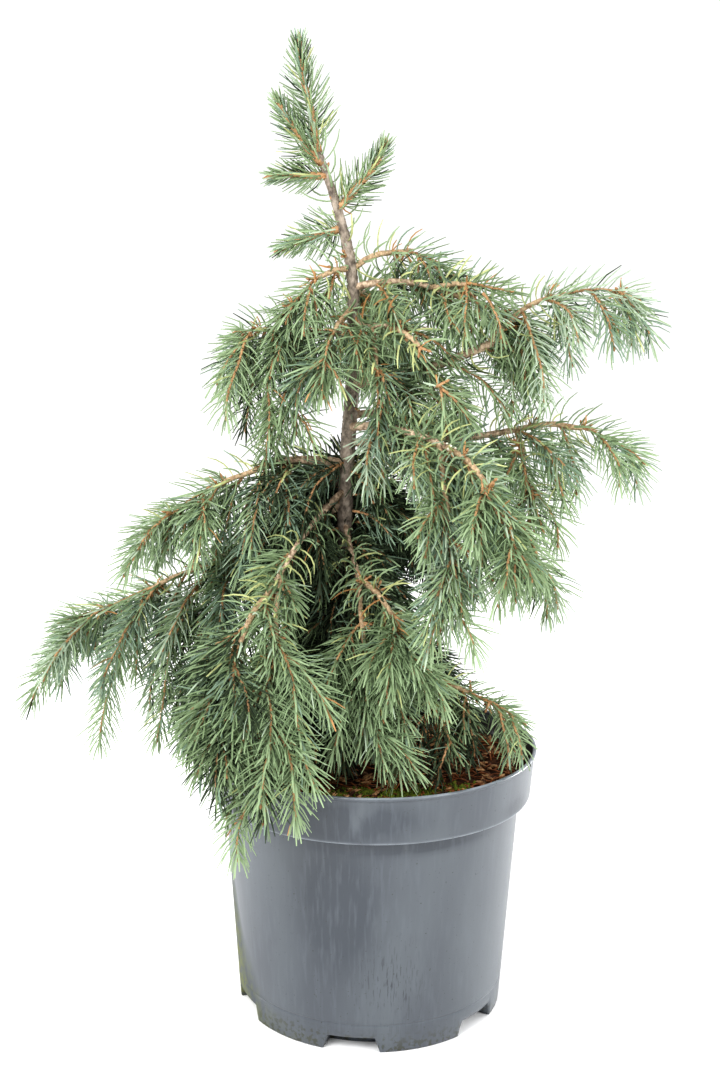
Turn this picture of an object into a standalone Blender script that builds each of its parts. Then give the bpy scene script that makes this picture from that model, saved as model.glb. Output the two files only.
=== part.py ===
"""Potted brewer spruce: a young weeping conifer in a round nursery container.

Metres, +Z up.  The origin is the centre of the container's flat underside, the front
of the plant faces -Y and +X is to its right.  Azimuth 0 points to the front, 90 to
the right.  One solid for the container, the growing medium, the trunk, each bough and
each mass of foliage.
"""
import math

import bmesh
import bpy
import numpy as np

# Container
POT_HEIGHT = 0.2247
RIM_RADIUS = 0.1387
COLLAR_RADIUS = 0.1342
COLLAR_BOTTOM = 0.1850
BODY_RADIUS = 0.1250
BASE_RADIUS = 0.1122
WALL = 0.0025
FLOOR = 0.0035
LIP = 0.0040
LIP_RADIUS = 0.1376
POT_SEGMENTS = 48
FOOT_RING = 0.0160
FOOT_RING_WIDTH = 0.0260
NOTCHES = 6
NOTCH_FIRST = -8.0
NOTCH_HEIGHT = 0.0120
NOTCH_DEPTH = 0.0170
NOTCH_WIDTH_LOW = 0.0470
NOTCH_WIDTH_HIGH = 0.0390

# Growing medium
SOIL_TOP = 0.2050
SOIL_CROWN = 0.0040
SOIL_CROWN_RADIUS = 0.0400
SOIL_SEGMENTS = 24

# Clearances: between solids, under a seated piece, from a twig's middle line to a limb
# or another twig, from a needle to other twigs, and to the container
GAP = 0.0003
SEAT_GAP = 0.0004
LIMB_CLEARANCE = 0.0085
TWIG_CLEARANCE = 0.0075
NEEDLE_CLEARANCE = 0.0012
POT_CLEARANCE = 0.006
POT_NEEDLE_CLEARANCE = 0.002

# Trunk: height, offset to the right, offset to the back, radius
TRUNK = (
    (SOIL_TOP + SOIL_CROWN + GAP, -0.008, 0.000, 0.0125),
    (0.225, -0.011, 0.000, 0.0086),
    (0.300, -0.022, 0.002, 0.0074),
    (0.440, -0.024, 0.000, 0.0064),
    (0.540, -0.019, 0.001, 0.0052),
    (0.620, -0.021, 0.000, 0.0044),
    (0.665, -0.032, 0.000, 0.0035),
    (0.711, -0.048, 0.000, 0.0027),
)
TRUNK_SIDES = 10
TRUNK_RINGS = 20
FLARE_RINGS = (0.0, 0.005, 0.010)
TRUNK_STEP = 0.004
TRUNK_TIP = TRUNK[-1][0]

# Boughs: height on the trunk, azimuth, turn, length, rise at the root, rise at the
# tip, radius at the root, radius at the tip
BOUGHS = {
    "left_high": (0.566, -90, 0, 0.062, 2, 4, 0.0026, 0.0018),
    "right_high": (0.603, 75, 5, 0.078, 18, -22, 0.0030, 0.0020),
    "front_high": (0.576, 40, 0, 0.046, -8, 6, 0.0024, 0.0018),
    "right_mid": (0.527, 68, 4, 0.122, 8, 26, 0.0036, 0.0024),
    "front_right": (0.491, 38, 0, 0.125, 10, -14, 0.0036, 0.0022),
    "right_low": (0.479, 85, 0, 0.150, -2, 14, 0.0034, 0.0022),
    "left_mid": (0.460, -75, 0, 0.058, 14, -6, 0.0034, 0.0024),
    "left_low": (0.428, -98, -2, 0.112, -20, -30, 0.0036, 0.0024),
    "front_left": (0.440, -36, 0, 0.115, -22, -48, 0.0034, 0.0024),
    "front_low": (0.415, 12, 6, 0.070, -48, -25, 0.0032, 0.0022),
    "right_base": (0.322, 62, 0, 0.085, -32, -12, 0.0032, 0.0022),
    "back_high": (0.595, 168, 0, 0.060, 15, -15, 0.0028, 0.0020),
    "back_right": (0.500, 138, 0, 0.100, 5, -20, 0.0032, 0.0022),
    "back_left": (0.446, -148, 0, 0.100, -8, -28, 0.0032, 0.0022),
    "back_mid": (0.410, 178, 0, 0.100, -10, -30, 0.0032, 0.0022),
    "back_low": (0.345, 142, 0, 0.085, -20, -30, 0.0032, 0.0022),
}
BOUGH_SIDES = 6
BOUGH_STEP = 0.018
FEWEST_BOUGH_RINGS = 4

# Masses of foliage: what carries the stem (a bough's tip, or a height on the trunk),
# azimuth, turn, stem length, rise at the root, rise at the tip, hanging shoots,
# their length, the angle they part at, and the side of the first one
MASSES = {
    "leader": (TRUNK_TIP, -90, 0, 0.083, 77, 81, 0, 0, 0, 1),
    "leader_left": (0.699, -90, 0, 0.058, 42, 66, 0, 0, 0, 1),
    "left_fan": (0.690, -92, 0, 0.042, 5, -6, 0, 0, 0, 1),
    "top_right": (0.665, 80, 0, 0.060, 40, 64, 0, 0, 0, 1),
    "upper_left_back": (0.650, -112, 0, 0.055, -12, -22, 0, 0, 0, 1),
    "upper_left": (0.618, -62, 0, 0.074, 2, -72, 3, 0.046, 55, -1),
    "upper_front": (0.588, -30, 0, 0.078, -18, -78, 2, 0.050, 60, 1),
    "upper_right_back": (0.617, 100, 0, 0.104, 42, -58, 4, 0.045, 50, -1),
    "left_high_end": ("left_high", -92, 0, 0.034, 2, -8, 4, 0.086, 76, 1),
    "left_high_inner": ("left_high", 12, 0, 0.082, -58, -88, 3, 0.034, 60, 1),
    "right_mid_end": ("right_mid", 72, 14, 0.128, 58, -22, 5, 0.062, 46, 1),
    "right_high_end": ("right_high", 82, 0, 0.078, -14, -30, 4, 0.052, 45, -1),
    "right_high_side": ("right_high", 48, -4, 0.078, 10, -12, 1, 0.040, 45, -1),
    "front_high_end": ("front_high", 42, 0, 0.086, -8, -78, 3, 0.052, 50, 1),
    "front_high_right": ("front_high", 76, 0, 0.066, 4, -50, 2, 0.048, 45, -1),
    "front_high_low": ("front_high", 10, 0, 0.080, -50, -88, 3, 0.042, 60, -1),
    "front_right_end": ("front_right", 42, 0, 0.112, -14, -82, 4, 0.062, 45, 1),
    "front_right_low": ("front_right", 14, 0, 0.140, -58, -90, 5, 0.046, 50, 1),
    "right_low_end": ("right_low", 85, 0, 0.098, 12, -44, 2, 0.058, 50, -1),
    "right_low_under": ("right_low", 15, 0, 0.125, -50, -90, 4, 0.056, 50, -1),
    "left_mid_end": ("left_mid", -76, 0, 0.110, -14, -36, 5, 0.072, 40, 1),
    "left_mid_inner": ("left_mid", -50, 0, 0.074, -65, -88, 2, 0.050, 50, 1),
    "left_low_end": ("left_low", -101, 0, 0.165, -27, -22, 6, 0.130, 46, 1),
    "left_low_hang": ("left_low", -58, 0, 0.150, -60, -90, 5, 0.070, 60, 1),
    "right_inner": (0.462, 108, 0, 0.122, -22, -82, 5, 0.076, 50, 1),
    "front_left_end": ("front_left", -37, 0, 0.132, -30, -90, 5, 0.068, 34, 1),
    "front_left_skirt": ("front_left", -4, 0, 0.166, -46, -88, 5, 0.088, 38, -1),
    "front_low_end": ("front_low", 42, 0, 0.098, -15, -82, 3, 0.060, 50, 1),
    "front_low_mid": ("front_low", 10, 0, 0.130, -55, -84, 5, 0.072, 60, 1),
    "right_base_end": ("right_base", 75, 0, 0.086, -12, -30, 4, 0.050, 50, 1),
    "right_base_low": ("right_base", 35, 0, 0.078, -44, -44, 4, 0.052, 60, 1),
    "front_base": (0.340, -18, 0, 0.125, -40, -78, 4, 0.066, 55, 1),
    "left_base": (0.350, -78, 0, 0.160, -22, -85, 5, 0.062, 55, 1),
    "back_high_end": ("back_high", 165, 0, 0.080, -20, -75, 4, 0.060, 45, 1),
    "back_right_end": ("back_right", 132, 0, 0.120, -20, -80, 5, 0.070, 55, -1),
    "back_right_low": ("back_right", 110, 0, 0.090, -50, -88, 3, 0.060, 45, 1),
    "back_left_end": ("back_left", -150, 0, 0.110, -25, -75, 5, 0.075, 45, 1),
    "back_left_low": ("back_left", -110, 0, 0.090, -50, -88, 3, 0.065, 45, 1),
    "back_mid_end": ("back_mid", 178, 0, 0.100, -30, -75, 5, 0.075, 45, 1),
    "back_low_end": ("back_low", 140, 0, 0.090, -25, -60, 4, 0.070, 45, 1),
    "back_low_left": (0.330, -150, 0, 0.110, -30, -75, 4, 0.070, 45, 1),
}

# How foliage grows: step along a line, shortest twig, how far a stem's root is sunk,
# the way from one stem's root to the next on a bough, and how near its root a twig may
# come to other limbs
SEED = 5
LINE_STEP = 0.006
SHORTEST_TWIG = 0.026
SUNK = 0.0025
SIDE_STEM_SPACING = 0.010
STEM_ROOM = 0.018
SHOOT_ROOM = 0.014

# How shoots hang: the rise at which they part from a level stem at its root and how
# much more that is at its tip, the rise from a steep stem, the rise they end at and
# how much more that is at a level stem's tip, and the lengths as shares of reach
STEEP = -42
PART_RISE = -60
PART_RISE_GAIN = 38
STEEP_PART_RISE = -30
HANG_RISE = -86
HANG_RISE_GAIN = 36
HANG_SPREAD = 5
FIRST_LENGTH = 1.22
LENGTH_LOSS = 0.46
LENGTH_SPREAD = 0.12
PART_SPREAD = 0.2

# Shoots: a slim core whose faces are drawn out into needles
STEM_SHARE = 0.8
BARE_SHARE = 0.3
WHORL = 0.0150
NEEDLE = 0.0250
NEEDLE_LEAN = 45
NEEDLE_LENGTHS = (1.0, 0.82, 0.66, 0.5, 0.36)
NEEDLE_SAMPLES = (0.25, 0.5, 0.75, 1.0)
TIP_NEEDLE = 0.017
STEM_SIDES = 5
SHOOT_SIDES = 3
STEM_RADIUS = 0.0023
STEM_TIP_RADIUS = 0.0017
SHOOT_SHARE = 0.70
SHOOT_TIP_RADIUS = 0.0013
WHORL_TWIST = 38

# Colours (linear), roughness, and the angle past which an edge of a round piece is sharp
FINISHES = {
    "pot_plastic": ((0.105, 0.118, 0.140, 1), 0.45),
    "growing_medium": ((0.050, 0.026, 0.014, 1), 0.95),
    "bark": ((0.260, 0.180, 0.130, 1), 0.85),
    "spruce_needles": ((0.075, 0.150, 0.090, 1), 0.55),
}
SHARP_ANGLE = 40


def clear_scene():
    for thing in list(bpy.data.objects):
        bpy.data.objects.remove(thing, do_unlink=True)


def finish(name):
    """The material of this name, made on first use."""
    if name in bpy.data.materials:
        return bpy.data.materials[name]
    colour, roughness = FINISHES[name]
    material = bpy.data.materials.new(name)
    material.use_nodes = True
    shader = material.node_tree.nodes["Principled BSDF"]
    shader.inputs["Base Color"].default_value = colour
    shader.inputs["Roughness"].default_value = roughness
    shader.inputs["Metallic"].default_value = 0.0
    return material


def make_object(name, vertices, faces, slot, collection=None, smooth=False):
    """One object from vertices and faces; a round one is shaded smooth."""
    mesh = bpy.data.meshes.new(name)
    mesh.from_pydata([tuple(v) for v in vertices], [], [tuple(f) for f in faces])
    mesh.validate()
    mesh.materials.append(finish(slot))
    if smooth:
        mesh.shade_smooth()
        mesh.set_sharp_from_angle(angle=math.radians(SHARP_ANGLE))
    thing = bpy.data.objects.new(name, mesh)
    (collection or bpy.context.scene.collection).objects.link(thing)
    return thing


def heading(azimuth, rise):
    """Unit vector: azimuth 0 is the front, 90 the right; rise is above the horizon."""
    a, e = np.radians(azimuth), np.radians(rise)
    return np.stack([np.cos(e) * np.sin(a), -np.cos(e) * np.cos(a), np.sin(e)], -1)


def limb_line(start, azimuth, turn, length, rise, fall):
    """Points along a limb whose azimuth and rise change evenly from root to tip."""
    count = max(3, round(length / LINE_STEP))
    share = (np.arange(count) + 0.5) / count
    run = heading(azimuth + turn * share, rise + (fall - rise) * share) * (length / count)
    return np.vstack([start, start + np.cumsum(run, axis=0)])


def trunk_at(height):
    """Centre and radius of the trunk at a height: a smooth curve through TRUNK."""
    table = np.array(TRUNK)
    knots = table[:, 0]
    slopes = np.diff(table[:, 1:], axis=0) / np.diff(knots)[:, None]
    slopes = np.vstack([slopes[:1], (slopes[1:] + slopes[:-1]) / 2, slopes[-1:]])
    i = int(np.clip(np.searchsorted(knots, height) - 1, 0, len(knots) - 2))
    span = knots[i + 1] - knots[i]
    s = (height - knots[i]) / span
    row = ((2 * s**3 - 3 * s**2 + 1) * table[i, 1:]
           + (s**3 - 2 * s**2 + s) * span * slopes[i]
           + (3 * s**2 - 2 * s**3) * table[i + 1, 1:]
           + (s**3 - s**2) * span * slopes[i + 1])
    return np.array([row[0], row[1], height]), row[2]


def resample(points, count):
    """The same line with evenly spaced points."""
    run = np.concatenate([[0], np.cumsum(np.linalg.norm(np.diff(points, axis=0), axis=1))])
    marks = np.linspace(0, run[-1], count)
    return np.stack([np.interp(marks, run, points[:, k]) for k in range(3)], -1)


def line_length(points):
    return float(np.linalg.norm(np.diff(points, axis=0), axis=1).sum())


def frames(points):
    """Direction and two side vectors at each point, carried along without twist."""
    along = np.gradient(points, axis=0)
    along /= np.linalg.norm(along, axis=1)[:, None]
    guide = np.array([0.0, 0.0, 1.0]) if abs(along[0, 2]) < 0.8 else np.array([0.0, 1.0, 0.0])
    sides = []
    for way in along:
        guide = guide - way * (guide @ way)
        guide = guide / np.linalg.norm(guide)
        sides.append(guide)
    sides = np.array(sides)
    return along, sides, np.cross(along, sides)


def rings(points, radii, sides, twist=0.0):
    """Rings of a tube round a line; each ring is turned by twist from the last."""
    along, first, second = frames(points)
    angle = np.radians(twist) * np.arange(len(points))[:, None]
    angle = angle + 2 * math.pi * np.arange(sides)[None, :] / sides
    out = (np.cos(angle)[..., None] * first[:, None] + np.sin(angle)[..., None] * second[:, None])
    return points[:, None] + out * np.asarray(radii)[:, None, None], out, along


def tube(points, radii, sides):
    """Vertices and faces of a plain tapering limb with flat ends."""
    return skinned(rings(points, radii, sides)[0])


def skinned(ring):
    """Vertices and faces of a closed body through rings of corners."""
    count, sides = ring.shape[:2]
    faces = [tuple(range(sides))[::-1], tuple(range((count - 1) * sides, count * sides))]
    for i in range(count - 1):
        for j in range(sides):
            k = (j + 1) % sides
            faces.append((i * sides + j, i * sides + k, (i + 1) * sides + k, (i + 1) * sides + j))
    return ring.reshape(-1, 3), faces


def space_for(tip, corners, neighbours):
    """True where the drawn-out face stays nearer its own shoot than any other limb,
    and clear of the container and the growing medium."""
    share = np.array(NEEDLE_SAMPLES)[:, None, None]
    samples = (corners[None] * (1 - share) + tip * share).reshape(-1, 3)
    if not clear_of_pot(samples, POT_NEEDLE_CLEARANCE).all():
        return False
    own, others, reach = neighbours
    if not len(others):
        return True
    to_own = np.linalg.norm(samples[:, None] - own[None], axis=2).min(axis=1)
    to_others = (np.linalg.norm(samples[:, None] - others[None], axis=2) - reach).min(axis=1)
    return bool((to_own + NEEDLE_CLEARANCE < to_others).all())


def needle_tip(corners, reach, neighbours):
    """Tip of the longest needle on these corners that has room, or None."""
    for share in NEEDLE_LENGTHS:
        tip = corners.mean(axis=0) + reach * share
        if space_for(tip, corners, neighbours):
            return tip
    return None


def draw_out(corners, tip, vertices, faces):
    """Add a face on these corners: plain, or drawn out to a tip."""
    if tip is None:
        faces.append(corners)
        return
    vertices.append(tip)
    count = len(corners)
    faces += [(corners[q], corners[(q + 1) % count], len(vertices) - 1) for q in range(count)]


def needled(points, radii, sides, first_whorl, neighbours):
    """A slim core; past first_whorl each of its faces is drawn out into a needle that
    leans forward, as long as there is room for it.  The tip ends in a needle too."""
    ring, out, along = rings(points, radii, sides, WHORL_TWIST)
    vertices = list(ring.reshape(-1, 3))
    faces = [tuple(range(sides))[::-1]]
    lean = math.radians(NEEDLE_LEAN)
    for i in range(len(points) - 1):
        for j in range(sides):
            k = (j + 1) % sides
            quad = (i * sides + j, i * sides + k, (i + 1) * sides + k, (i + 1) * sides + j)
            corners = np.array([vertices[q] for q in quad])
            outward = out[i, j] + out[i, k] + out[i + 1, j] + out[i + 1, k]
            outward /= np.linalg.norm(outward)
            way = outward * math.sin(lean) + along[i] * math.cos(lean)
            tip = needle_tip(corners, way * NEEDLE, neighbours) if i >= first_whorl else None
            draw_out(quad, tip, vertices, faces)
    end = range((len(points) - 1) * sides, len(points) * sides)
    corners = np.array([vertices[q] for q in end])
    draw_out(tuple(end), needle_tip(corners, along[-1] * TIP_NEEDLE, neighbours), vertices, faces)
    return np.array(vertices), faces


def body_radius(height):
    """Outer radius of the container below its collar."""
    return float(np.interp(height, [0, COLLAR_BOTTOM], [BASE_RADIUS, BODY_RADIUS]))


def clear_of_pot(points, margin):
    """True for points that keep this margin to the container and what fills it."""
    radius = np.hypot(points[:, 0], points[:, 1])
    height = points[:, 2]
    above = height > POT_HEIGHT + margin
    outside = radius > RIM_RADIUS + margin
    within = (radius < COLLAR_RADIUS - WALL - margin) & (height > SOIL_TOP + SOIL_CROWN + margin)
    return above | outside | within


def bough_lines():
    """The centre line of each bough, from the middle of the trunk."""
    lines = {}
    for name, (height, azimuth, turn, length, rise, fall, _, _) in BOUGHS.items():
        lines[name] = limb_line(trunk_at(height)[0], azimuth, turn, length, rise, fall)
    return lines


def at_distance(line, back):
    """The point of a line that lies this far before its tip."""
    run = np.concatenate([[0], np.cumsum(np.linalg.norm(np.diff(line, axis=0), axis=1))])
    return np.array([np.interp(run[-1] - back, run, line[:, k]) for k in range(3)])


def stem_start(name, boughs):
    """Where a mass's stem starts, inside the limb that carries it.  The first stem on
    a bough goes on from its tip, and the next ones leave just before it."""
    holder = MASSES[name][0]
    if holder == TRUNK_TIP:
        return trunk_at(holder - SUNK)[0]
    if not isinstance(holder, str):
        return trunk_at(holder)[0]
    order = [other for other in MASSES if MASSES[other][0] == holder].index(name)
    return at_distance(boughs[holder], SUNK + order * SIDE_STEM_SPACING)


def keeps(points, others, clearance):
    """True for points that lie at least this far from all the others."""
    if not len(others):
        return np.full(len(points), True)
    return np.linalg.norm(points[:, None] - others[None], axis=2).min(axis=1) > clearance


def clear_line(line, limbs, others, room):
    """The line as far as it keeps clear of the pot, the limbs and the other twigs;
    within room of its start only the pot counts."""
    near_root = np.linalg.norm(line - line[0], axis=1) < room
    free = clear_of_pot(line, POT_CLEARANCE)
    free &= keeps(line, limbs, LIMB_CLEARANCE) | near_root
    free &= keeps(line, others, TWIG_CLEARANCE) | near_root
    blocked = np.flatnonzero(~free)
    if len(blocked):
        line = line[:max(blocked[0], 1)]
    return line if len(line) > 2 and line_length(line) >= SHORTEST_TWIG else None


def hanging_shoot(stem, row, i, rng):
    """The i-th shoot of a stem: it parts to alternate sides and then hangs down."""
    _, azimuth, turn, length, rise, fall, shoots, reach, splay, side = row
    share = (i + 0.55) / (shoots + 0.1)
    size = reach * (FIRST_LENGTH - LENGTH_LOSS * share) * (1 + LENGTH_SPREAD * rng.uniform(-1, 1))
    way = side * (1 if i % 2 == 0 else -1) * splay * (1 + PART_SPREAD * rng.uniform(-1, 1))
    first, last = STEEP_PART_RISE, HANG_RISE + HANG_SPREAD * rng.uniform(-1, 1)
    if rise + (fall - rise) * share > STEEP:
        first = PART_RISE + PART_RISE_GAIN * share
        last += HANG_RISE_GAIN * share**3
    root = round(share * max(3, round(length / LINE_STEP)))
    if root >= len(stem) - 1:
        return None
    return limb_line(stem[root], azimuth + turn * share + way, 0, size, first, last)


def grow():
    """Lines of every mass: its stem, then its shoots, kept clear of what is there."""
    rng = np.random.default_rng(SEED)
    boughs = bough_lines()
    trunk = np.array([trunk_at(h)[0] for h in np.arange(TRUNK[0][0], TRUNK_TIP, TRUNK_STEP)])
    grown = {}
    for name, row in MASSES.items():
        holder, azimuth, turn, length, rise, fall, shoots = row[:7]
        stem = limb_line(stem_start(name, boughs), azimuth, turn, length, rise, fall)
        limbs = np.vstack([trunk] + [boughs[other] for other in boughs if other != holder])
        others = [line for lines in grown.values() for line in lines]
        others = np.vstack(others) if others else np.zeros((0, 3))
        stem = clear_line(stem, limbs, others, STEM_ROOM)
        if stem is None:
            print("no room for", name)
            continue
        lines = [stem]
        limbs = np.vstack([limbs, boughs.get(holder, trunk)])
        for i in range(shoots):
            shoot = hanging_shoot(stem, row, i, rng)
            if shoot is not None:
                shoot = clear_line(shoot, limbs, np.vstack([others] + lines), SHOOT_ROOM)
            if shoot is not None:
                lines.append(shoot)
        grown[name] = lines
    return trunk, boughs, grown


def neighbours_of(line, trunk, boughs, grown):
    """Points of this line, and the points and radii of every other one near it."""
    low, high = line.min(axis=0) - 2 * NEEDLE, line.max(axis=0) + 2 * NEEDLE
    points, reach = [trunk], [np.array([trunk_at(h)[1] for h in trunk[:, 2]])]
    for name, other in boughs.items():
        points.append(other)
        reach.append(np.linspace(BOUGHS[name][6], BOUGHS[name][7], len(other)))
    for lines in grown.values():
        for other in lines:
            if other is not line:
                points.append(resample(other, 2 * len(other)))
                reach.append(np.full(2 * len(other), STEM_RADIUS))
    points, reach = np.vstack(points), np.concatenate(reach)
    near = ((points > low) & (points < high)).all(axis=1)
    return resample(line, 3 * len(line)), points[near], reach[near]


def applied(thing):
    """Apply the modifiers of an object and keep its largest body."""
    graph = bpy.context.evaluated_depsgraph_get()
    mesh = bpy.data.meshes.new_from_object(thing.evaluated_get(graph))
    thing.modifiers.clear()
    old = thing.data
    thing.data = mesh
    bpy.data.meshes.remove(old)
    keep_largest_body(mesh)
    return thing


def keep_largest_body(mesh):
    """Drop loose scraps and sealed hollows, which are smaller than the body itself."""
    shape = bmesh.new()
    shape.from_mesh(mesh)
    left = set(shape.faces)
    bodies = []
    while left:
        front = [left.pop()]
        body = list(front)
        while front:
            edges = [edge for edge in front.pop().edges if len(edge.link_faces) == 2]
            for face in {face for edge in edges for face in edge.link_faces} & left:
                left.remove(face)
                front.append(face)
                body.append(face)
        bodies.append(body)
    bodies.sort(key=len)
    for body in bodies[:-1]:
        bmesh.ops.delete(shape, geom=body, context="FACES")
    shape.to_mesh(mesh)
    shape.free()


def boolean(thing, operation, other=None, collection=None, solver="EXACT"):
    """A Boolean modifier with an object or a collection."""
    cut = thing.modifiers.new(operation.lower(), "BOOLEAN")
    cut.operation = operation
    cut.solver = solver
    if collection:
        cut.operand_type = "COLLECTION"
        cut.collection = collection
    else:
        cut.object = other


def cutter(name, vertices, faces):
    """A shape that only cuts others."""
    thing = make_object(name, vertices, faces, "bark")
    thing.hide_render = True
    thing.display_type = "WIRE"
    return thing


def turned(profile, segments):
    """A closed body turned round Z from a profile that starts and ends on the axis."""
    angle = 2 * math.pi * np.arange(segments) / segments
    radius, height = np.array(profile[1:-1]).T
    grid = np.stack([radius[:, None] * np.sin(angle), -radius[:, None] * np.cos(angle),
                     np.broadcast_to(height[:, None], (len(radius), segments))], -1)
    vertices = [tuple(v) for v in grid.reshape(-1, 3)]
    vertices += [(0, 0, profile[0][1]), (0, 0, profile[-1][1])]
    low, high = len(vertices) - 2, len(vertices) - 1
    last = (len(radius) - 1) * segments
    faces = []
    for j in range(segments):
        k = (j + 1) % segments
        faces.append((low, k, j))
        faces.append((high, last + j, last + k))
        for i in range(len(radius) - 1):
            a = i * segments
            faces.append((a + j, a + k, a + segments + k, a + segments + j))
    return vertices, faces


def make_pot():
    """Container: tapering body, wider collar with a ledge, lip, and a foot ring that
    is notched for drainage."""
    wall_top = COLLAR_BOTTOM + WALL
    ring_inner = BASE_RADIUS - FOOT_RING_WIDTH
    profile = [
        (0, 0), (BASE_RADIUS, 0), (BODY_RADIUS, COLLAR_BOTTOM), (COLLAR_RADIUS, COLLAR_BOTTOM),
        (LIP_RADIUS, POT_HEIGHT - LIP), (RIM_RADIUS, POT_HEIGHT - LIP), (RIM_RADIUS, POT_HEIGHT),
        (RIM_RADIUS - WALL, POT_HEIGHT), (COLLAR_RADIUS - WALL, wall_top),
        (BODY_RADIUS - WALL, wall_top), (body_radius(FOOT_RING) - WALL, FOOT_RING),
        (ring_inner, FOOT_RING), (ring_inner, FLOOR), (0, FLOOR),
    ]
    pot = make_object("pot", *turned(profile, POT_SEGMENTS), "pot_plastic", smooth=True)
    boolean(pot, "DIFFERENCE", cutter("notch_cutter", *notch_blocks()))
    return pot


def notch_blocks():
    """Vertices and faces of the wedges that notch the foot, narrower at their top."""
    vertices, faces = [], []
    inner, outer = BASE_RADIUS - NOTCH_DEPTH, BASE_RADIUS + NOTCH_DEPTH
    box = [(0, 1, 2, 3), (7, 6, 5, 4), (0, 4, 5, 1), (1, 5, 6, 2), (2, 6, 7, 3), (3, 7, 4, 0)]
    slope = (NOTCH_WIDTH_LOW - NOTCH_WIDTH_HIGH) / 2 / NOTCH_HEIGHT
    below = NOTCH_HEIGHT / 2
    for n in range(NOTCHES):
        turn = math.radians(NOTCH_FIRST + 360 / NOTCHES * n)
        out = np.array([math.sin(turn), -math.cos(turn), 0])
        side = np.array([math.cos(turn), math.sin(turn), 0])
        first = len(vertices)
        for height, half in ((-below, NOTCH_WIDTH_LOW / 2 + slope * below),
                             (NOTCH_HEIGHT, NOTCH_WIDTH_HIGH / 2)):
            up = np.array([0, 0, height])
            vertices += [out * inner - side * half + up, out * outer - side * half + up,
                         out * outer + side * half + up, out * inner + side * half + up]
        faces += [tuple(first + q for q in face[::-1]) for face in box]
    return vertices, faces


def make_soil():
    """Growing medium: fills the container to below the rim, with a slight crown."""
    wall = WALL + 2 * GAP
    ring_inner = BASE_RADIUS - FOOT_RING_WIDTH - GAP
    ledge = COLLAR_BOTTOM + WALL + GAP
    crown = SOIL_TOP + SOIL_CROWN
    profile = [
        (0, FLOOR + GAP), (ring_inner, FLOOR + GAP), (ring_inner, FOOT_RING + GAP),
        (body_radius(FOOT_RING) - wall, FOOT_RING + GAP), (BODY_RADIUS - wall, ledge),
        (COLLAR_RADIUS - wall, ledge), (COLLAR_RADIUS - wall, SOIL_TOP),
        (SOIL_CROWN_RADIUS, crown), (0, crown),
    ]
    return make_object("growing_medium", *turned(profile, SOIL_SEGMENTS), "growing_medium", smooth=True)


def trunk_tube(grow_by):
    """Trunk, or the shape that cuts what meets it when it is made wider."""
    flare = TRUNK[0][0] + np.array(FLARE_RINGS)
    heights = np.concatenate([flare, np.linspace(TRUNK[1][0] + TRUNK_STEP, TRUNK_TIP, TRUNK_RINGS)])
    points = np.array([trunk_at(h)[0] for h in heights])
    radii = np.array([trunk_at(h)[1] for h in heights]) + grow_by
    points[-1, 2] += grow_by
    angle = 2 * math.pi * np.arange(TRUNK_SIDES) / TRUNK_SIDES
    circle = np.stack([np.cos(angle), np.sin(angle), np.zeros(TRUNK_SIDES)], -1)
    return skinned(points[:, None] + circle * radii[:, None, None])


def bough_tube(name, line, grow_by):
    """A bough, or the wider shape that cuts what meets it."""
    count = max(FEWEST_BOUGH_RINGS, round(line_length(line) / BOUGH_STEP) + 1)
    points = resample(line, count)
    way = points[-1] - points[-2]
    points[-1] += way / np.linalg.norm(way) * grow_by
    radii = np.linspace(BOUGHS[name][6], BOUGHS[name][7], count) + grow_by
    return tube(points, radii, BOUGH_SIDES)


def carrier_radius(name):
    """Radius of the limb under a mass's stem."""
    holder = MASSES[name][0]
    return BOUGHS[holder][7] if isinstance(holder, str) else trunk_at(holder)[1]


def make_mass(name, trunk, boughs, grown, cutters):
    """A stem with its shoots, joined into one body and cut clear of what carries it."""
    collection = bpy.data.collections.new(name + "_shoots")
    holder, shoots = MASSES[name][0], MASSES[name][6]
    root = min(STEM_RADIUS, STEM_SHARE * carrier_radius(name))
    tip = min(root, STEM_TIP_RADIUS)
    for i, line in enumerate(grown[name]):
        count = max(3, round(line_length(line) / WHORL) + 1)
        points = resample(line, count)
        around = neighbours_of(line, trunk, boughs, grown)
        if i == 0:
            bare = max(1, round(BARE_SHARE * count)) if shoots > 2 else 1
            body = needled(points, np.linspace(root, tip, count), STEM_SIDES, bare, around)
            mass = make_object("foliage_" + name, *body, "spruce_needles")
        else:
            stem = grown[name][0]
            place = np.linalg.norm(stem - line[0], axis=1).argmin() / len(stem)
            thick = SHOOT_SHARE * (root + (tip - root) * place)
            radii = np.linspace(thick, min(thick, SHOOT_TIP_RADIUS), count)
            body = needled(points, radii, SHOOT_SIDES, 1, around)
            make_object("shoot_%s_%d" % (name, i), *body, "spruce_needles", collection)
    if len(collection.objects):
        boolean(mass, "UNION", collection=collection, solver="MANIFOLD")
    boolean(mass, "DIFFERENCE", cutters.get(holder, cutters["trunk"]), solver="MANIFOLD")
    applied(mass)
    for thing in list(collection.objects):
        bpy.data.objects.remove(thing, do_unlink=True)
    bpy.data.collections.remove(collection)
    return mass


def make_bough(name, line, cutters):
    """A bough cut clear of the trunk, and the shape that cuts the masses it carries."""
    bough = make_object("bough_" + name, *bough_tube(name, line, 0), "bark", smooth=True)
    boolean(bough, "DIFFERENCE", cutters["trunk"])
    applied(bough)
    cutters[name] = cutter("cutter_" + name, *bough_tube(name, line, SEAT_GAP))
    return bough


def main():
    clear_scene()
    make_pot()
    make_soil()
    make_object("trunk", *trunk_tube(0), "bark", smooth=True)
    cutters = {"trunk": cutter("trunk_cutter", *trunk_tube(SEAT_GAP))}
    trunk, boughs, grown = grow()
    for name, line in boughs.items():
        make_bough(name, line, cutters)
    for name in grown:
        make_mass(name, trunk, boughs, grown, cutters)


if __name__ == "__main__":
    main()
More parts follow.
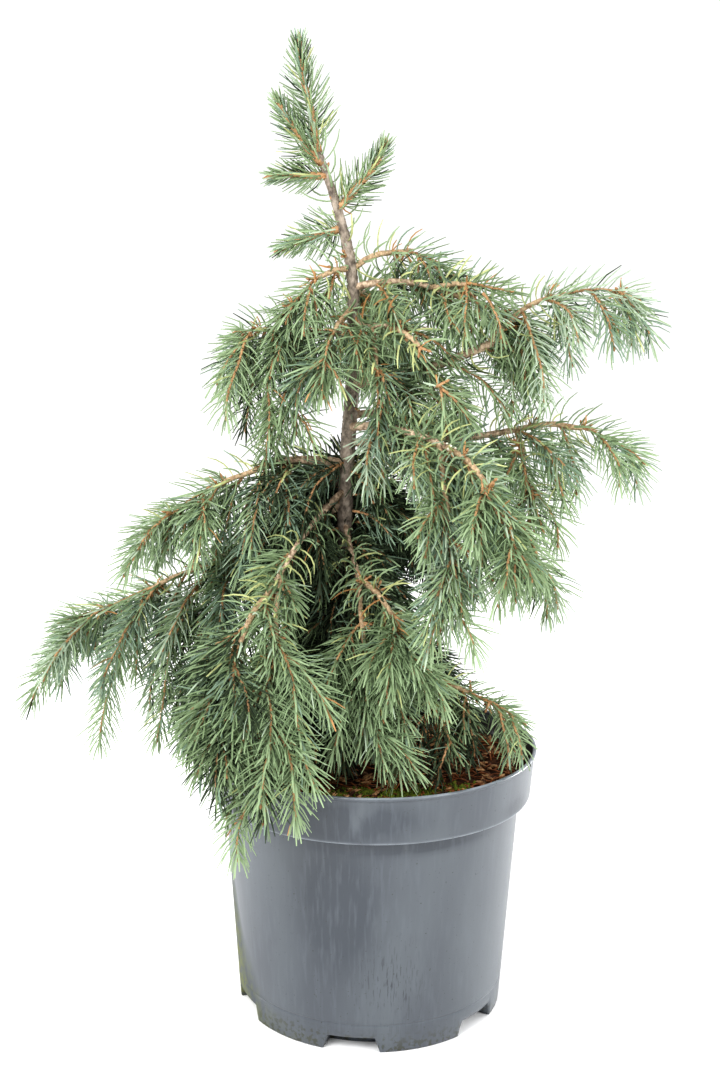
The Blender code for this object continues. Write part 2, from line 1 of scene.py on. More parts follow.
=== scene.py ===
# %% [markdown]
# # Potted brewer spruce
# A young weeping conifer in a round nursery container.  The solid model is loaded first:
# it fixes every size and place, and all that follows is finer surface on top of it.

# %% Load the solid model
import math

import bpy
import numpy as np
from mathutils import Matrix, Vector


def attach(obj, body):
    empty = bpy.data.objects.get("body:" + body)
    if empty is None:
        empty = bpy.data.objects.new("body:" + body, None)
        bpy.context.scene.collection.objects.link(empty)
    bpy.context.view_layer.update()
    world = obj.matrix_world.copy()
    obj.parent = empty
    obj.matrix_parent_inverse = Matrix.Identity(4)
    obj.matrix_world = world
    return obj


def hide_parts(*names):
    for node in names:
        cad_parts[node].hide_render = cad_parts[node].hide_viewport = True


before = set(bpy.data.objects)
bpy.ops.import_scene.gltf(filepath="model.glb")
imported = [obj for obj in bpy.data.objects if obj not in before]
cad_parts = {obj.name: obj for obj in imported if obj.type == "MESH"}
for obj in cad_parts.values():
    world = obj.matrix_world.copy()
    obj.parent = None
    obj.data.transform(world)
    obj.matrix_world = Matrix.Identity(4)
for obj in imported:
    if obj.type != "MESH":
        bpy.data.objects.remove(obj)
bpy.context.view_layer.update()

# %% [markdown]
# ## Helpers for meshes and colours
# Every new surface is worked out with numpy as whole arrays, then handed to one mesh.
# Colours are written as sRGB hex values, as a paint chart gives them, and turned linear.

# %% Mesh and colour helpers
def linear(hex_colour):
    """Linear RGBA of an sRGB hex value: each channel c becomes ((c + 0.055) / 1.055) ** 2.4."""
    parts = [int(hex_colour[i:i + 2], 16) / 255 for i in (1, 3, 5)]
    return tuple(c / 12.92 if c <= 0.04045 else ((c + 0.055) / 1.055) ** 2.4 for c in parts) + (1,)


def surface(name, points, groups, material, smooth=True):
    """A mesh piece at the origin.  groups is a list of arrays of faces, each array with
    its own number of corners; points is an array of places in metres."""
    mesh = bpy.data.meshes.new(name)
    mesh.vertices.add(len(points))
    mesh.vertices.foreach_set("co", np.asarray(points, np.float32).ravel())
    corners = np.concatenate([group.ravel() for group in groups])
    sizes = np.concatenate([np.full(len(group), group.shape[1]) for group in groups])
    mesh.loops.add(len(corners))
    mesh.loops.foreach_set("vertex_index", corners.astype(np.int32))
    mesh.polygons.add(len(sizes))
    starts = np.concatenate([[0], np.cumsum(sizes)[:-1]])
    mesh.polygons.foreach_set("loop_start", starts.astype(np.int32))
    mesh.polygons.foreach_set("use_smooth", np.full(len(sizes), smooth))
    mesh.update(calc_edges=True)
    mesh.materials.append(material)
    piece = bpy.data.objects.new(name, mesh)
    bpy.context.scene.collection.objects.link(piece)
    print(name, "has", int((sizes - 2).sum()), "triangles")
    return piece


def wrapped(count, sides, first=0):
    """Faces between count closed rings of sides corners, numbered ring after ring."""
    i, j = np.meshgrid(np.arange(count - 1), np.arange(sides), indexing="ij")
    k = (j + 1) % sides
    quads = np.stack([i * sides + j, i * sides + k, (i + 1) * sides + k, (i + 1) * sides + j], -1)
    return quads.reshape(-1, 4) + first


def add(tree, kind, settings=(), links=(), **values):
    """A shader node: settings are its own, values go to its sockets by name with _ for a
    space, and links are pairs of (socket name, output of another node)."""
    made = tree.nodes.new(kind)
    for key, value in dict(settings).items():
        setattr(made, key, value)
    for key, value in values.items():
        made.inputs[key.replace("_", " ")].default_value = value
    for socket, source in links:
        tree.links.new(source, made.inputs[socket])
    return made


def new_finish(name, hex_colour, roughness, **values):
    """A material whose Principled shader has constant values; returns it, its node tree
    and its shader."""
    material = bpy.data.materials.new(name)
    material.use_nodes = True
    tree = material.node_tree
    shader = tree.nodes["Principled BSDF"]
    shader.inputs["Base Color"].default_value = linear(hex_colour)
    shader.inputs["Roughness"].default_value = roughness
    for key, value in values.items():
        shader.inputs[key.replace("_", " ")].default_value = value
    return material, tree, shader


# %% [markdown]
# ## The plant's own measures
# These are the solid model's tables and rule again, because this script can read only
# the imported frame.  The same seed draws the same twigs, so the fine twigs and needles
# made below grow exactly where the solids are.

# %% Measures of the container and the clearances
POT_HEIGHT = 0.2247
RIM_RADIUS = 0.1387
COLLAR_RADIUS = 0.1342
COLLAR_BOTTOM = 0.1850
BODY_RADIUS = 0.1250
BASE_RADIUS = 0.1122
WALL = 0.0025
LIP = 0.0040
NOTCHES = 6
NOTCH_FIRST = -8.0
NOTCH_HEIGHT = 0.0120
NOTCH_DEPTH = 0.0170
NOTCH_WIDTH_LOW = 0.0470
NOTCH_WIDTH_HIGH = 0.0390
SOIL_TOP = 0.2050
SOIL_CROWN = 0.0040
GAP = 0.0003
LIMB_CLEARANCE = 0.0085
TWIG_CLEARANCE = 0.0075
POT_CLEARANCE = 0.006
SHORTEST_TWIG = 0.026
LINE_STEP = 0.006
SEED = 5
STEM_ROOM = 0.018
SHOOT_ROOM = 0.014
STEEP = -42
PART_RISE = -60
PART_RISE_GAIN = 38
STEEP_PART_RISE = -30
HANG_RISE = -86
HANG_RISE_GAIN = 36
HANG_SPREAD = 5
FIRST_LENGTH = 1.22
LENGTH_LOSS = 0.46
LENGTH_SPREAD = 0.12
PART_SPREAD = 0.2
SIDE_STEM_SPACING = 0.010
SUNK = 0.0025
TRUNK_STEP = 0.004

# Trunk: height, offset to the right, offset to the back, radius
TRUNK = (
    (SOIL_TOP + SOIL_CROWN + GAP, -0.008, 0.000, 0.0125),
    (0.225, -0.011, 0.000, 0.0086),
    (0.300, -0.022, 0.002, 0.0074),
    (0.440, -0.024, 0.000, 0.0064),
    (0.540, -0.019, 0.001, 0.0052),
    (0.620, -0.021, 0.000, 0.0044),
    (0.665, -0.032, 0.000, 0.0035),
    (0.711, -0.048, 0.000, 0.0027),
)
TRUNK_TIP = TRUNK[-1][0]

# Boughs: height on the trunk, azimuth, turn, length, rise at the root, rise at the
# tip, radius at the root, radius at the tip
BOUGHS = {
    "left_high": (0.566, -90, 0, 0.062, 2, 4, 0.0026, 0.0018),
    "right_high": (0.603, 75, 5, 0.078, 18, -22, 0.0030, 0.0020),
    "front_high": (0.576, 40, 0, 0.046, -8, 6, 0.0024, 0.0018),
    "right_mid": (0.527, 68, 4, 0.122, 8, 26, 0.0036, 0.0024),
    "front_right": (0.491, 38, 0, 0.125, 10, -14, 0.0036, 0.0022),
    "right_low": (0.479, 85, 0, 0.150, -2, 14, 0.0034, 0.0022),
    "left_mid": (0.460, -75, 0, 0.058, 14, -6, 0.0034, 0.0024),
    "left_low": (0.428, -98, -2, 0.112, -20, -30, 0.0036, 0.0024),
    "front_left": (0.440, -36, 0, 0.115, -22, -48, 0.0034, 0.0024),
    "front_low": (0.415, 12, 6, 0.070, -48, -25, 0.0032, 0.0022),
    "right_base": (0.322, 62, 0, 0.085, -32, -12, 0.0032, 0.0022),
    "back_high": (0.595, 168, 0, 0.060, 15, -15, 0.0028, 0.0020),
    "back_right": (0.500, 138, 0, 0.100, 5, -20, 0.0032, 0.0022),
    "back_left": (0.446, -148, 0, 0.100, -8, -28, 0.0032, 0.0022),
    "back_mid": (0.410, 178, 0, 0.100, -10, -30, 0.0032, 0.0022),
    "back_low": (0.345, 142, 0, 0.085, -20, -30, 0.0032, 0.0022),
}

# Masses of foliage: what carries the stem (a bough's tip, or a height on the trunk),
# azimuth, turn, stem length, rise at the root, rise at the tip, hanging shoots,
# their length, the angle they part at, and the side of the first one
MASSES = {
    "leader": (TRUNK_TIP, -90, 0, 0.083, 77, 81, 0, 0, 0, 1),
    "leader_left": (0.699, -90, 0, 0.058, 42, 66, 0, 0, 0, 1),
    "left_fan": (0.690, -92, 0, 0.042, 5, -6, 0, 0, 0, 1),
    "top_right": (0.665, 80, 0, 0.060, 40, 64, 0, 0, 0, 1),
    "upper_left_back": (0.650, -112, 0, 0.055, -12, -22, 0, 0, 0, 1),
    "upper_left": (0.618, -62, 0, 0.074, 2, -72, 3, 0.046, 55, -1),
    "upper_front": (0.588, -30, 0, 0.078, -18, -78, 2, 0.050, 60, 1),
    "upper_right_back": (0.617, 100, 0, 0.104, 42, -58, 4, 0.045, 50, -1),
    "left_high_end": ("left_high", -92, 0, 0.034, 2, -8, 4, 0.086, 76, 1),
    "left_high_inner": ("left_high", 12, 0, 0.082, -58, -88, 3, 0.034, 60, 1),
    "right_mid_end": ("right_mid", 72, 14, 0.128, 58, -22, 5, 0.062, 46, 1),
    "right_high_end": ("right_high", 82, 0, 0.078, -14, -30, 4, 0.052, 45, -1),
    "right_high_side": ("right_high", 48, -4, 0.078, 10, -12, 1, 0.040, 45, -1),
    "front_high_end": ("front_high", 42, 0, 0.086, -8, -78, 3, 0.052, 50, 1),
    "front_high_right": ("front_high", 76, 0, 0.066, 4, -50, 2, 0.048, 45, -1),
    "front_high_low": ("front_high", 10, 0, 0.080, -50, -88, 3, 0.042, 60, -1),
    "front_right_end": ("front_right", 42, 0, 0.112, -14, -82, 4, 0.062, 45, 1),
    "front_right_low": ("front_right", 14, 0, 0.140, -58, -90, 5, 0.046, 50, 1),
    "right_low_end": ("right_low", 85, 0, 0.098, 12, -44, 2, 0.058, 50, -1),
    "right_low_under": ("right_low", 15, 0, 0.125, -50, -90, 4, 0.056, 50, -1),
    "left_mid_end": ("left_mid", -76, 0, 0.110, -14, -36, 5, 0.072, 40, 1),
    "left_mid_inner": ("left_mid", -50, 0, 0.074, -65, -88, 2, 0.050, 50, 1),
    "left_low_end": ("left_low", -101, 0, 0.165, -27, -22, 6, 0.130, 46, 1),
    "left_low_hang": ("left_low", -58, 0, 0.150, -60, -90, 5, 0.070, 60, 1),
    "right_inner": (0.462, 108, 0, 0.122, -22, -82, 5, 0.076, 50, 1),
    "front_left_end": ("front_left", -37, 0, 0.132, -30, -90, 5, 0.068, 34, 1),
    "front_left_skirt": ("front_left", -4, 0, 0.166, -46, -88, 5, 0.088, 38, -1),
    "front_low_end": ("front_low", 42, 0, 0.098, -15, -82, 3, 0.060, 50, 1),
    "front_low_mid": ("front_low", 10, 0, 0.130, -55, -84, 5, 0.072, 60, 1),
    "right_base_end": ("right_base", 75, 0, 0.086, -12, -30, 4, 0.050, 50, 1),
    "right_base_low": ("right_base", 35, 0, 0.078, -44, -44, 4, 0.052, 60, 1),
    "front_base": (0.340, -18, 0, 0.125, -40, -78, 4, 0.066, 55, 1),
    "left_base": (0.350, -78, 0, 0.160, -22, -85, 5, 0.062, 55, 1),
    "back_high_end": ("back_high", 165, 0, 0.080, -20, -75, 4, 0.060, 45, 1),
    "back_right_end": ("back_right", 132, 0, 0.120, -20, -80, 5, 0.070, 55, -1),
    "back_right_low": ("back_right", 110, 0, 0.090, -50, -88, 3, 0.060, 45, 1),
    "back_left_end": ("back_left", -150, 0, 0.110, -25, -75, 5, 0.075, 45, 1),
    "back_left_low": ("back_left", -110, 0, 0.090, -50, -88, 3, 0.065, 45, 1),
    "back_mid_end": ("back_mid", 178, 0, 0.100, -30, -75, 5, 0.075, 45, 1),
    "back_low_end": ("back_low", 140, 0, 0.090, -25, -60, 4, 0.070, 45, 1),
    "back_low_left": (0.330, -150, 0, 0.110, -30, -75, 4, 0.070, 45, 1),
}
print(len(BOUGHS), "boughs and", len(MASSES), "masses of foliage")


# %% Lines of limbs
def heading(azimuth, rise):
    """Unit vector: azimuth 0 is the front, 90 the right; rise is above the horizon."""
    a, e = np.radians(azimuth), np.radians(rise)
    return np.stack([np.cos(e) * np.sin(a), -np.cos(e) * np.cos(a), np.sin(e)], -1)


def limb_line(start, azimuth, turn, length, rise, fall):
    """Points along a limb whose azimuth and rise change evenly from root to tip."""
    count = max(3, round(length / LINE_STEP))
    share = (np.arange(count) + 0.5) / count
    run = heading(azimuth + turn * share, rise + (fall - rise) * share) * (length / count)
    return np.vstack([start, start + np.cumsum(run, axis=0)])


def trunk_at(height):
    """Centre and radius of the trunk at a height: a smooth curve through TRUNK."""
    table = np.array(TRUNK)
    knots = table[:, 0]
    slopes = np.diff(table[:, 1:], axis=0) / np.diff(knots)[:, None]
    slopes = np.vstack([slopes[:1], (slopes[1:] + slopes[:-1]) / 2, slopes[-1:]])
    i = int(np.clip(np.searchsorted(knots, height) - 1, 0, len(knots) - 2))
    span = knots[i + 1] - knots[i]
    s = (height - knots[i]) / span
    row = ((2 * s**3 - 3 * s**2 + 1) * table[i, 1:]
           + (s**3 - 2 * s**2 + s) * span * slopes[i]
           + (3 * s**2 - 2 * s**3) * table[i + 1, 1:]
           + (s**3 - s**2) * span * slopes[i + 1])
    return np.array([row[0], row[1], height]), row[2]


def resample(points, count):
    """The same line with evenly spaced points."""
    run = np.concatenate([[0], np.cumsum(np.linalg.norm(np.diff(points, axis=0), axis=1))])
    marks = np.linspace(0, run[-1], count)
    return np.stack([np.interp(marks, run, points[:, k]) for k in range(3)], -1)


def line_length(points):
    return float(np.linalg.norm(np.diff(points, axis=0), axis=1).sum())


def frames(points):
    """Direction and two side vectors at each point, carried along without twist."""
    along = np.gradient(points, axis=0)
    along /= np.linalg.norm(along, axis=1)[:, None]
    guide = np.array([0.0, 0.0, 1.0]) if abs(along[0, 2]) < 0.8 else np.array([0.0, 1.0, 0.0])
    sides = []
    for way in along:
        guide = guide - way * (guide @ way)
        guide = guide / np.linalg.norm(guide)
        sides.append(guide)
    sides = np.array(sides)
    return along, sides, np.cross(along, sides)


# %% Growing the boughs, stems and shoots
def clear_of_pot(points, margin):
    """True for points that keep this margin to the container and what fills it."""
    radius = np.hypot(points[:, 0], points[:, 1])
    height = points[:, 2]
    above = height > POT_HEIGHT + margin
    outside = radius > RIM_RADIUS + margin
    within = (radius < COLLAR_RADIUS - WALL - margin) & (height > SOIL_TOP + SOIL_CROWN + margin)
    return above | outside | within


def bough_lines():
    """The centre line of each bough, from the middle of the trunk."""
    lines = {}
    for name, (height, azimuth, turn, length, rise, fall, _, _) in BOUGHS.items():
        lines[name] = limb_line(trunk_at(height)[0], azimuth, turn, length, rise, fall)
    return lines


def at_distance(line, back):
    """The point of a line that lies this far before its tip."""
    run = np.concatenate([[0], np.cumsum(np.linalg.norm(np.diff(line, axis=0), axis=1))])
    return np.array([np.interp(run[-1] - back, run, line[:, k]) for k in range(3)])


def stem_start(name, boughs):
    """Where a mass's stem starts, inside the limb that carries it.  The first stem on
    a bough goes on from its tip, and the next ones leave just before it."""
    holder = MASSES[name][0]
    if holder == TRUNK_TIP:
        return trunk_at(holder - SUNK)[0]
    if not isinstance(holder, str):
        return trunk_at(holder)[0]
    order = [other for other in MASSES if MASSES[other][0] == holder].index(name)
    return at_distance(boughs[holder], SUNK + order * SIDE_STEM_SPACING)


def keeps(points, others, clearance):
    """True for points that lie at least this far from all the others."""
    if not len(others):
        return np.full(len(points), True)
    return np.linalg.norm(points[:, None] - others[None], axis=2).min(axis=1) > clearance


def clear_line(line, limbs, others, room):
    """The line as far as it keeps clear of the pot, the limbs and the other twigs;
    within room of its start only the pot counts."""
    near_root = np.linalg.norm(line - line[0], axis=1) < room
    free = clear_of_pot(line, POT_CLEARANCE)
    free &= keeps(line, limbs, LIMB_CLEARANCE) | near_root
    free &= keeps(line, others, TWIG_CLEARANCE) | near_root
    blocked = np.flatnonzero(~free)
    if len(blocked):
        line = line[:max(blocked[0], 1)]
    return line if len(line) > 2 and line_length(line) >= SHORTEST_TWIG else None


def hanging_shoot(stem, row, i, rng):
    """The i-th shoot of a stem: it parts to alternate sides and then hangs down."""
    _, azimuth, turn, length, rise, fall, shoots, reach, splay, side = row
    share = (i + 0.55) / (shoots + 0.1)
    size = reach * (FIRST_LENGTH - LENGTH_LOSS * share) * (1 + LENGTH_SPREAD * rng.uniform(-1, 1))
    way = side * (1 if i % 2 == 0 else -1) * splay * (1 + PART_SPREAD * rng.uniform(-1, 1))
    first, last = STEEP_PART_RISE, HANG_RISE + HANG_SPREAD * rng.uniform(-1, 1)
    if rise + (fall - rise) * share > STEEP:
        first = PART_RISE + PART_RISE_GAIN * share
        last += HANG_RISE_GAIN * share**3
    root = round(share * max(3, round(length / LINE_STEP)))
    if root >= len(stem) - 1:
        return None
    return limb_line(stem[root], azimuth + turn * share + way, 0, size, first, last)


def grow():
    """Lines of every mass: its stem, then its shoots, kept clear of what is there."""
    rng = np.random.default_rng(SEED)
    boughs = bough_lines()
    trunk = np.array([trunk_at(h)[0] for h in np.arange(TRUNK[0][0], TRUNK_TIP, TRUNK_STEP)])
    grown = {}
    for name, row in MASSES.items():
        holder, azimuth, turn, length, rise, fall, shoots = row[:7]
        stem = limb_line(stem_start(name, boughs), azimuth, turn, length, rise, fall)
        limbs = np.vstack([trunk] + [boughs[other] for other in boughs if other != holder])
        others = [line for lines in grown.values() for line in lines]
        others = np.vstack(others) if others else np.zeros((0, 3))
        stem = clear_line(stem, limbs, others, STEM_ROOM)
        if stem is None:
            print("no room for", name)
            continue
        lines = [stem]
        limbs = np.vstack([limbs, boughs.get(holder, trunk)])
        for i in range(shoots):
            shoot = hanging_shoot(stem, row, i, rng)
            if shoot is not None:
                shoot = clear_line(shoot, limbs, np.vstack([others] + lines), SHOOT_ROOM)
            if shoot is not None:
                lines.append(shoot)
        grown[name] = lines
    return trunk, boughs, grown


TRUNK_LINE, BOUGH_LINES, GROWN = grow()
print(sum(len(lines) for lines in GROWN.values()), "stems and shoots")

# %% [markdown]
# ## Finer twigs
# On the real plant a hanging shoot ends in a fan: a few of last year's twigs that part
# at an angle and then hang side by side, with sky between them.  They could be placed
# by hand, but a rule is shorter and fills the crown evenly: each longer shoot of the
# source bears side twigs, and more short ones hang from the stems and boughs.  The low
# sprays in front are full, those in the middle slim, and those outside open.

# %% Fans of twigs
FULL = ("front_left_skirt", "front_left_end", "front_base", "front_low_mid", "front_low_end", "left_base",
        "front_low", "front_left", "left_low_hang")
OPEN = ("right_mid_end", "right_low_end", "right_high_side", "right_high_end", "right_low_under", "left_fan",
        "left_high_end", "left_high_inner", "right_base_end",
        "right_base_low", "front_high_right", "upper_left", "upper_right_back")
# For each kind: where a side twig parts, how long it is as a share of the shoot, its side
FANS = {
    "full": ((0.16, 0.62, 1), (0.16, 0.62, -1)),
    "slim": ((0.14, 0.66, 1), (0.14, 0.66, -1)),
    "open": ((0.12, 0.64, 1),),
}
FANNED_FROM = 0.040
FAN_SHORTEST = 0.024
FAN_LONGEST = 0.066
BETWEEN_SPACING = {"full": 0.055, "slim": 0.032, "open": 0.060}
BETWEEN_LENGTH = (0.034, 0.058)
UNDER_SPACING = 0.026
UNDER_LENGTH = (0.040, 0.066)
UNDER_FROM = 0.12
LOW_BOUGHS = ("right_base",)
LONG_UNDER = ("right_mid", "right_low", "front_right")
LONG_UNDER_LENGTH = (0.055, 0.085)
OLD_WOOD = 0.45
DOWN = np.array([0.0, 0.0, -1.0])
RNG = np.random.default_rng(11)


def unit(vectors):
    return vectors / np.linalg.norm(vectors, axis=-1, keepdims=True)


def at_share(line, share):
    """Place and direction at a share of a line."""
    k = share * (len(line) - 1)
    i = min(int(k), len(line) - 2)
    return line[i] + (line[i + 1] - line[i]) * (k - i), unit(line[i + 1] - line[i])


def bent_twig(start, first, last, length):
    """Points along a twig whose direction goes evenly from first to last, as far as it
    keeps clear of the container, or None if too little is left."""
    count = max(3, round(length / LINE_STEP))
    share = ((np.arange(count) + 0.5) / count)[:, None]
    ways = unit(first * (1 - share) + last * share)
    line = np.vstack([start, start + np.cumsum(ways * length / count, axis=0)])
    touching = np.flatnonzero(~clear_of_pot(line, POT_CLEARANCE))
    line = line[:touching[0]] if len(touching) else line
    return line if len(line) > 2 and line_length(line) > 0.016 else None


def side_of(azimuth):
    """A level direction across an azimuth, turned a little at random."""
    return heading(azimuth + 90 + RNG.normal(0, 28), 0)


def fan(line, azimuth, kind):
    """Twigs that part from a shoot to its sides and then hang beside it."""
    length, mirror = line_length(line), RNG.choice((-1, 1))
    made = []
    for share, size, way in FANS[kind]:
        reach = min(length * size, FAN_LONGEST)
        if length < FANNED_FROM or reach < FAN_SHORTEST:
            continue
        start, along = at_share(line, share + RNG.uniform(-0.05, 0.07))
        side = side_of(azimuth) * way * mirror
        first = unit(along * 0.80 + side * RNG.uniform(0.50, 0.78))
        last = unit(along * 0.55 + DOWN * 0.50 + side * 0.12)
        made.append(bent_twig(start, first, last, reach * RNG.uniform(0.80, 1.15)))
    return made


def hanging(line, azimuth, spacing, lengths, from_share):
    """Twigs that hang from a stem or a bough, to alternate sides of it."""
    span = 1 - from_share
    count = max(1, round(line_length(line) * span / spacing))
    made = []
    for i in range(count):
        start, along = at_share(line, from_share + span * (i + RNG.uniform(0.3, 0.7)) / count)
        side = side_of(azimuth) * (1 if i % 2 else -1)
        first = unit(along * 0.55 + side * RNG.uniform(0.35, 0.95) + DOWN * 0.25)
        last = unit(DOWN + side * 0.14 + along * 0.12)
        made.append(bent_twig(start, first, last, RNG.uniform(*lengths)))
    return made


STUBS = 2
STUB_LENGTH = 0.005


def knuckle(place, along):
    """Short stubs of bud scales, spread about the place where shoots part."""
    made = []
    for _ in range(STUBS):
        way = unit(along * 0.6 + unit(RNG.normal(0, 1, 3)))
        made.append(place + np.outer(np.linspace(0, STUB_LENGTH * RNG.uniform(0.7, 1.3), 4), way))
    return [("stub", line) for line in made]


def kind_of(name):
    """full, open, slim, or upright for a mass that is one bare-footed stem without shoots."""
    if name in MASSES and MASSES[name][6] == 0:
        return "upright"
    return "full" if name in FULL else "open" if name in OPEN else "slim"


def twigs_of_mass(name, lines):
    """(kind, line) of every twig of a mass.  The stem's root is old wood."""
    azimuth, kind = MASSES[name][1] + MASSES[name][2], kind_of(name)
    if kind == "upright":
        return [(kind, lines[0])]
    stem, shoots = lines[0], lines[1:]
    cut = max(2, int(len(stem) * OLD_WOOD))
    made = [("old", stem[:cut + 1]), (kind, stem[cut - 1:])] + knuckle(*at_share(stem, OLD_WOOD))
    between = hanging(stem, azimuth, BETWEEN_SPACING[kind], BETWEEN_LENGTH, 0.25)
    for shoot in shoots + [twig for twig in between if twig is not None]:
        made.append((kind, shoot))
        made += [(kind, twig) for twig in fan(shoot, azimuth, kind)]
    for shoot in shoots[::2]:
        made += knuckle(*at_share(shoot, 0.0))
    return made


def wavy(line):
    """A twig that snakes a little: two sine waves across it, nothing at its root."""
    _, first, second = frames(line)
    run = np.linspace(0, 1, len(line))[:, None]
    size = TWIG_WAVE * np.clip(run * 4, 0, 1) * line_length(line) / 0.05
    start = RNG.uniform(0, 6, 2)
    return line + size * (first * np.sin(7 * run + start[0]) + second * np.sin(9 * run + start[1]))


def hides_wood(kind, line):
    """Whether a twig hangs before the wood that shows: within SHOWN_WIDTH of it across and
    up, and in front of it by more than BEFORE."""
    gap = line[:, None] - SHOWN_WOOD
    near = np.hypot(gap[..., 0], gap[..., 2]) < SHOWN_WIDTH
    return kind not in ("bough", "trunk", "stub") and bool((near & (gap[..., 1] < -BEFORE)).any())


def all_twigs():
    """(name of bough or mass, kind, line) of every twig of the crown."""
    made = [("trunk", "trunk", TRUNK_LINE[TRUNK_LINE[:, 2] > BARE_TRUNK])]
    for height in WHORLS:
        made += [("trunk", *stub) for stub in knuckle(trunk_at(height)[0], np.array([0.0, -1.0, 0.3]))]
    for i, height in enumerate(np.arange(*SKIRT)):
        azimuth = GOLDEN_ANGLE * i
        first, last = heading(azimuth, RNG.uniform(-10, 25)), heading(azimuth, RNG.uniform(-80, -60))
        twig = bent_twig(trunk_at(height)[0], first, last, RNG.uniform(*SKIRT_LENGTH))
        made += [("trunk", "slim", line) for line in [twig] + fan(twig, azimuth, "slim")]
    for name, line in BOUGH_LINES.items():
        made.append((name, "bough", line[int(0.30 * len(line)):]))
        made += [(name, *stub) for stub in knuckle(line[-1], unit(line[-1] - line[-2]))]
        if name in LOW_BOUGHS:
            continue
        lengths = LONG_UNDER_LENGTH if name in LONG_UNDER else UNDER_LENGTH
        for twig in hanging(line, BOUGHS[name][1], UNDER_SPACING, lengths, UNDER_FROM):
            if twig is not None:
                made.append((name, kind_of(name), twig))
                made += [(name, kind_of(name), side) for side in fan(twig, BOUGHS[name][1], kind_of(name))]
    for name, lines in GROWN.items():
        made += [(name, kind, line) for kind, line in twigs_of_mass(name, lines)]
    made = [twig for twig in made if twig[2] is not None and not hides_wood(*twig[1:])]
    return [(name, kind, line if kind in ("trunk", "bough", "stub") else wavy(line)) for name, kind, line in made]


TRUNK_SHOWN = (0.385, 0.515)
BOUGH_SHOWN = ("right_mid", 0.45, 0.92)
SHOWN_WIDTH = 0.012
BEFORE = 0.016
shown_line = BOUGH_LINES[BOUGH_SHOWN[0]]
shown_part = slice(*(int(share * len(shown_line)) for share in BOUGH_SHOWN[1:]))
SHOWN_WOOD = np.vstack([TRUNK_LINE[(TRUNK_LINE[:, 2] > TRUNK_SHOWN[0]) & (TRUNK_LINE[:, 2] < TRUNK_SHOWN[1])],
                        shown_line[shown_part]])
BARE_TRUNK = 0.622
SKIRT = (0.300, 0.465, 0.0042)
SKIRT_LENGTH = (0.055, 0.085)
GOLDEN_ANGLE = 137.5
TWIG_WAVE = 0.0006
WHORLS = (0.462, 0.508, 0.582, 0.628, 0.668, 0.692)
TWIGS = all_twigs()
print(len(TWIGS), "twigs,", round(sum(line_length(twig[2]) for twig in TWIGS), 1), "m in all")

# %% [markdown]
# ## Needles
# A brewer spruce needle is up to 30 mm long, blunt, a little flattened and bowed, green
# above and paler below.  Young twigs hold them densely all round, leaning forward; on
# older wood they are fewer, broader, bowed and yellower.  A needle is a three-sided blade
# of fourteen triangles, or twenty-six where it is bowed, shaded flat so that its keel shows.  A pattern would be lost on
# thousands of slim blades, so each is one plain colour, dealt out twig by twig.

# %% Needle shape
NEEDLE_WIDTH = 0.00158
NEEDLE_THICKNESS = 0.00115
# Rings of a blade: share of the length, share of the width, share of the sag
STRAIGHT = ((0.0, 0.75, 0.0), (0.52, 1.0, 1.0), (1.0, 0.55, 0.0))
BOWED = ((0.0, 0.8, 0.0), (0.25, 1.15, 0.75), (0.5, 1.2, 1.0), (0.75, 1.1, 0.75), (1.0, 0.6, 0.0))


def needle_mesh(rings, roots, ways, sizes, bows, sags):
    """Points and faces of many needles at once.  Each is a row of three-sided rings, moved
    sideways towards the bow by their share of the sag."""
    across = unit(np.cross(ways, bows))
    flat = np.cross(across, ways)
    turn = np.radians([30.0, 150.0, 270.0])
    ring = (np.cos(turn)[None, :, None] * across[:, None] * NEEDLE_WIDTH * 0.58
            + np.sin(turn)[None, :, None] * flat[:, None] * NEEDLE_THICKNESS * 0.5)
    long = ways * sizes[:, None]
    rows = [(roots + long * share + flat * (sizes * sags * bow)[:, None])[:, None] + ring * width
            for share, width, bow in rings]
    corners = 3 * len(rings)
    base = corners * np.arange(len(roots))[:, None, None]
    quads = wrapped(len(rings), 3)[None] + base
    ends = np.array([[2, 1, 0], [corners - 3, corners - 2, corners - 1]])[None] + base
    return np.concatenate(rows, axis=1).reshape(-1, 3), quads.reshape(-1, 4), ends.reshape(-1, 3)


# %% Needles along a twig
# For each kind of twig: metres from needle to needle, needle length, lean at the root
# of the twig, lean at its tip, sag as a share of the length, the share of the twig left
# bare at its root, and how much shorter the needles at the tip are
NEEDLED = {
    "slim": (0.00115, 0.0262, 44, 18, 0.050, 0.06, 0.30),
    "open": (0.00118, 0.0268, 47, 19, 0.060, 0.06, 0.30),
    "full": (0.00088, 0.0268, 44, 20, 0.050, 0.05, 0.28),
    "upright": (0.00044, 0.0270, 54, 24, 0.050, 0.04, 0.50),
    "old": (0.00170, 0.0290, 70, 54, 0.120, 0.04, 0.10),
    "bough": (0.00140, 0.0300, 64, 52, 0.170, 0.0, 0.0),
    "trunk": (0.00320, 0.0290, 56, 46, 0.160, 0.0, 0.0),
    "stub": (0.00170, 0.0120, 75, 50, 0.100, 0.0, 0.0),
}


TIP_STRETCH = {"upright": 0.045}


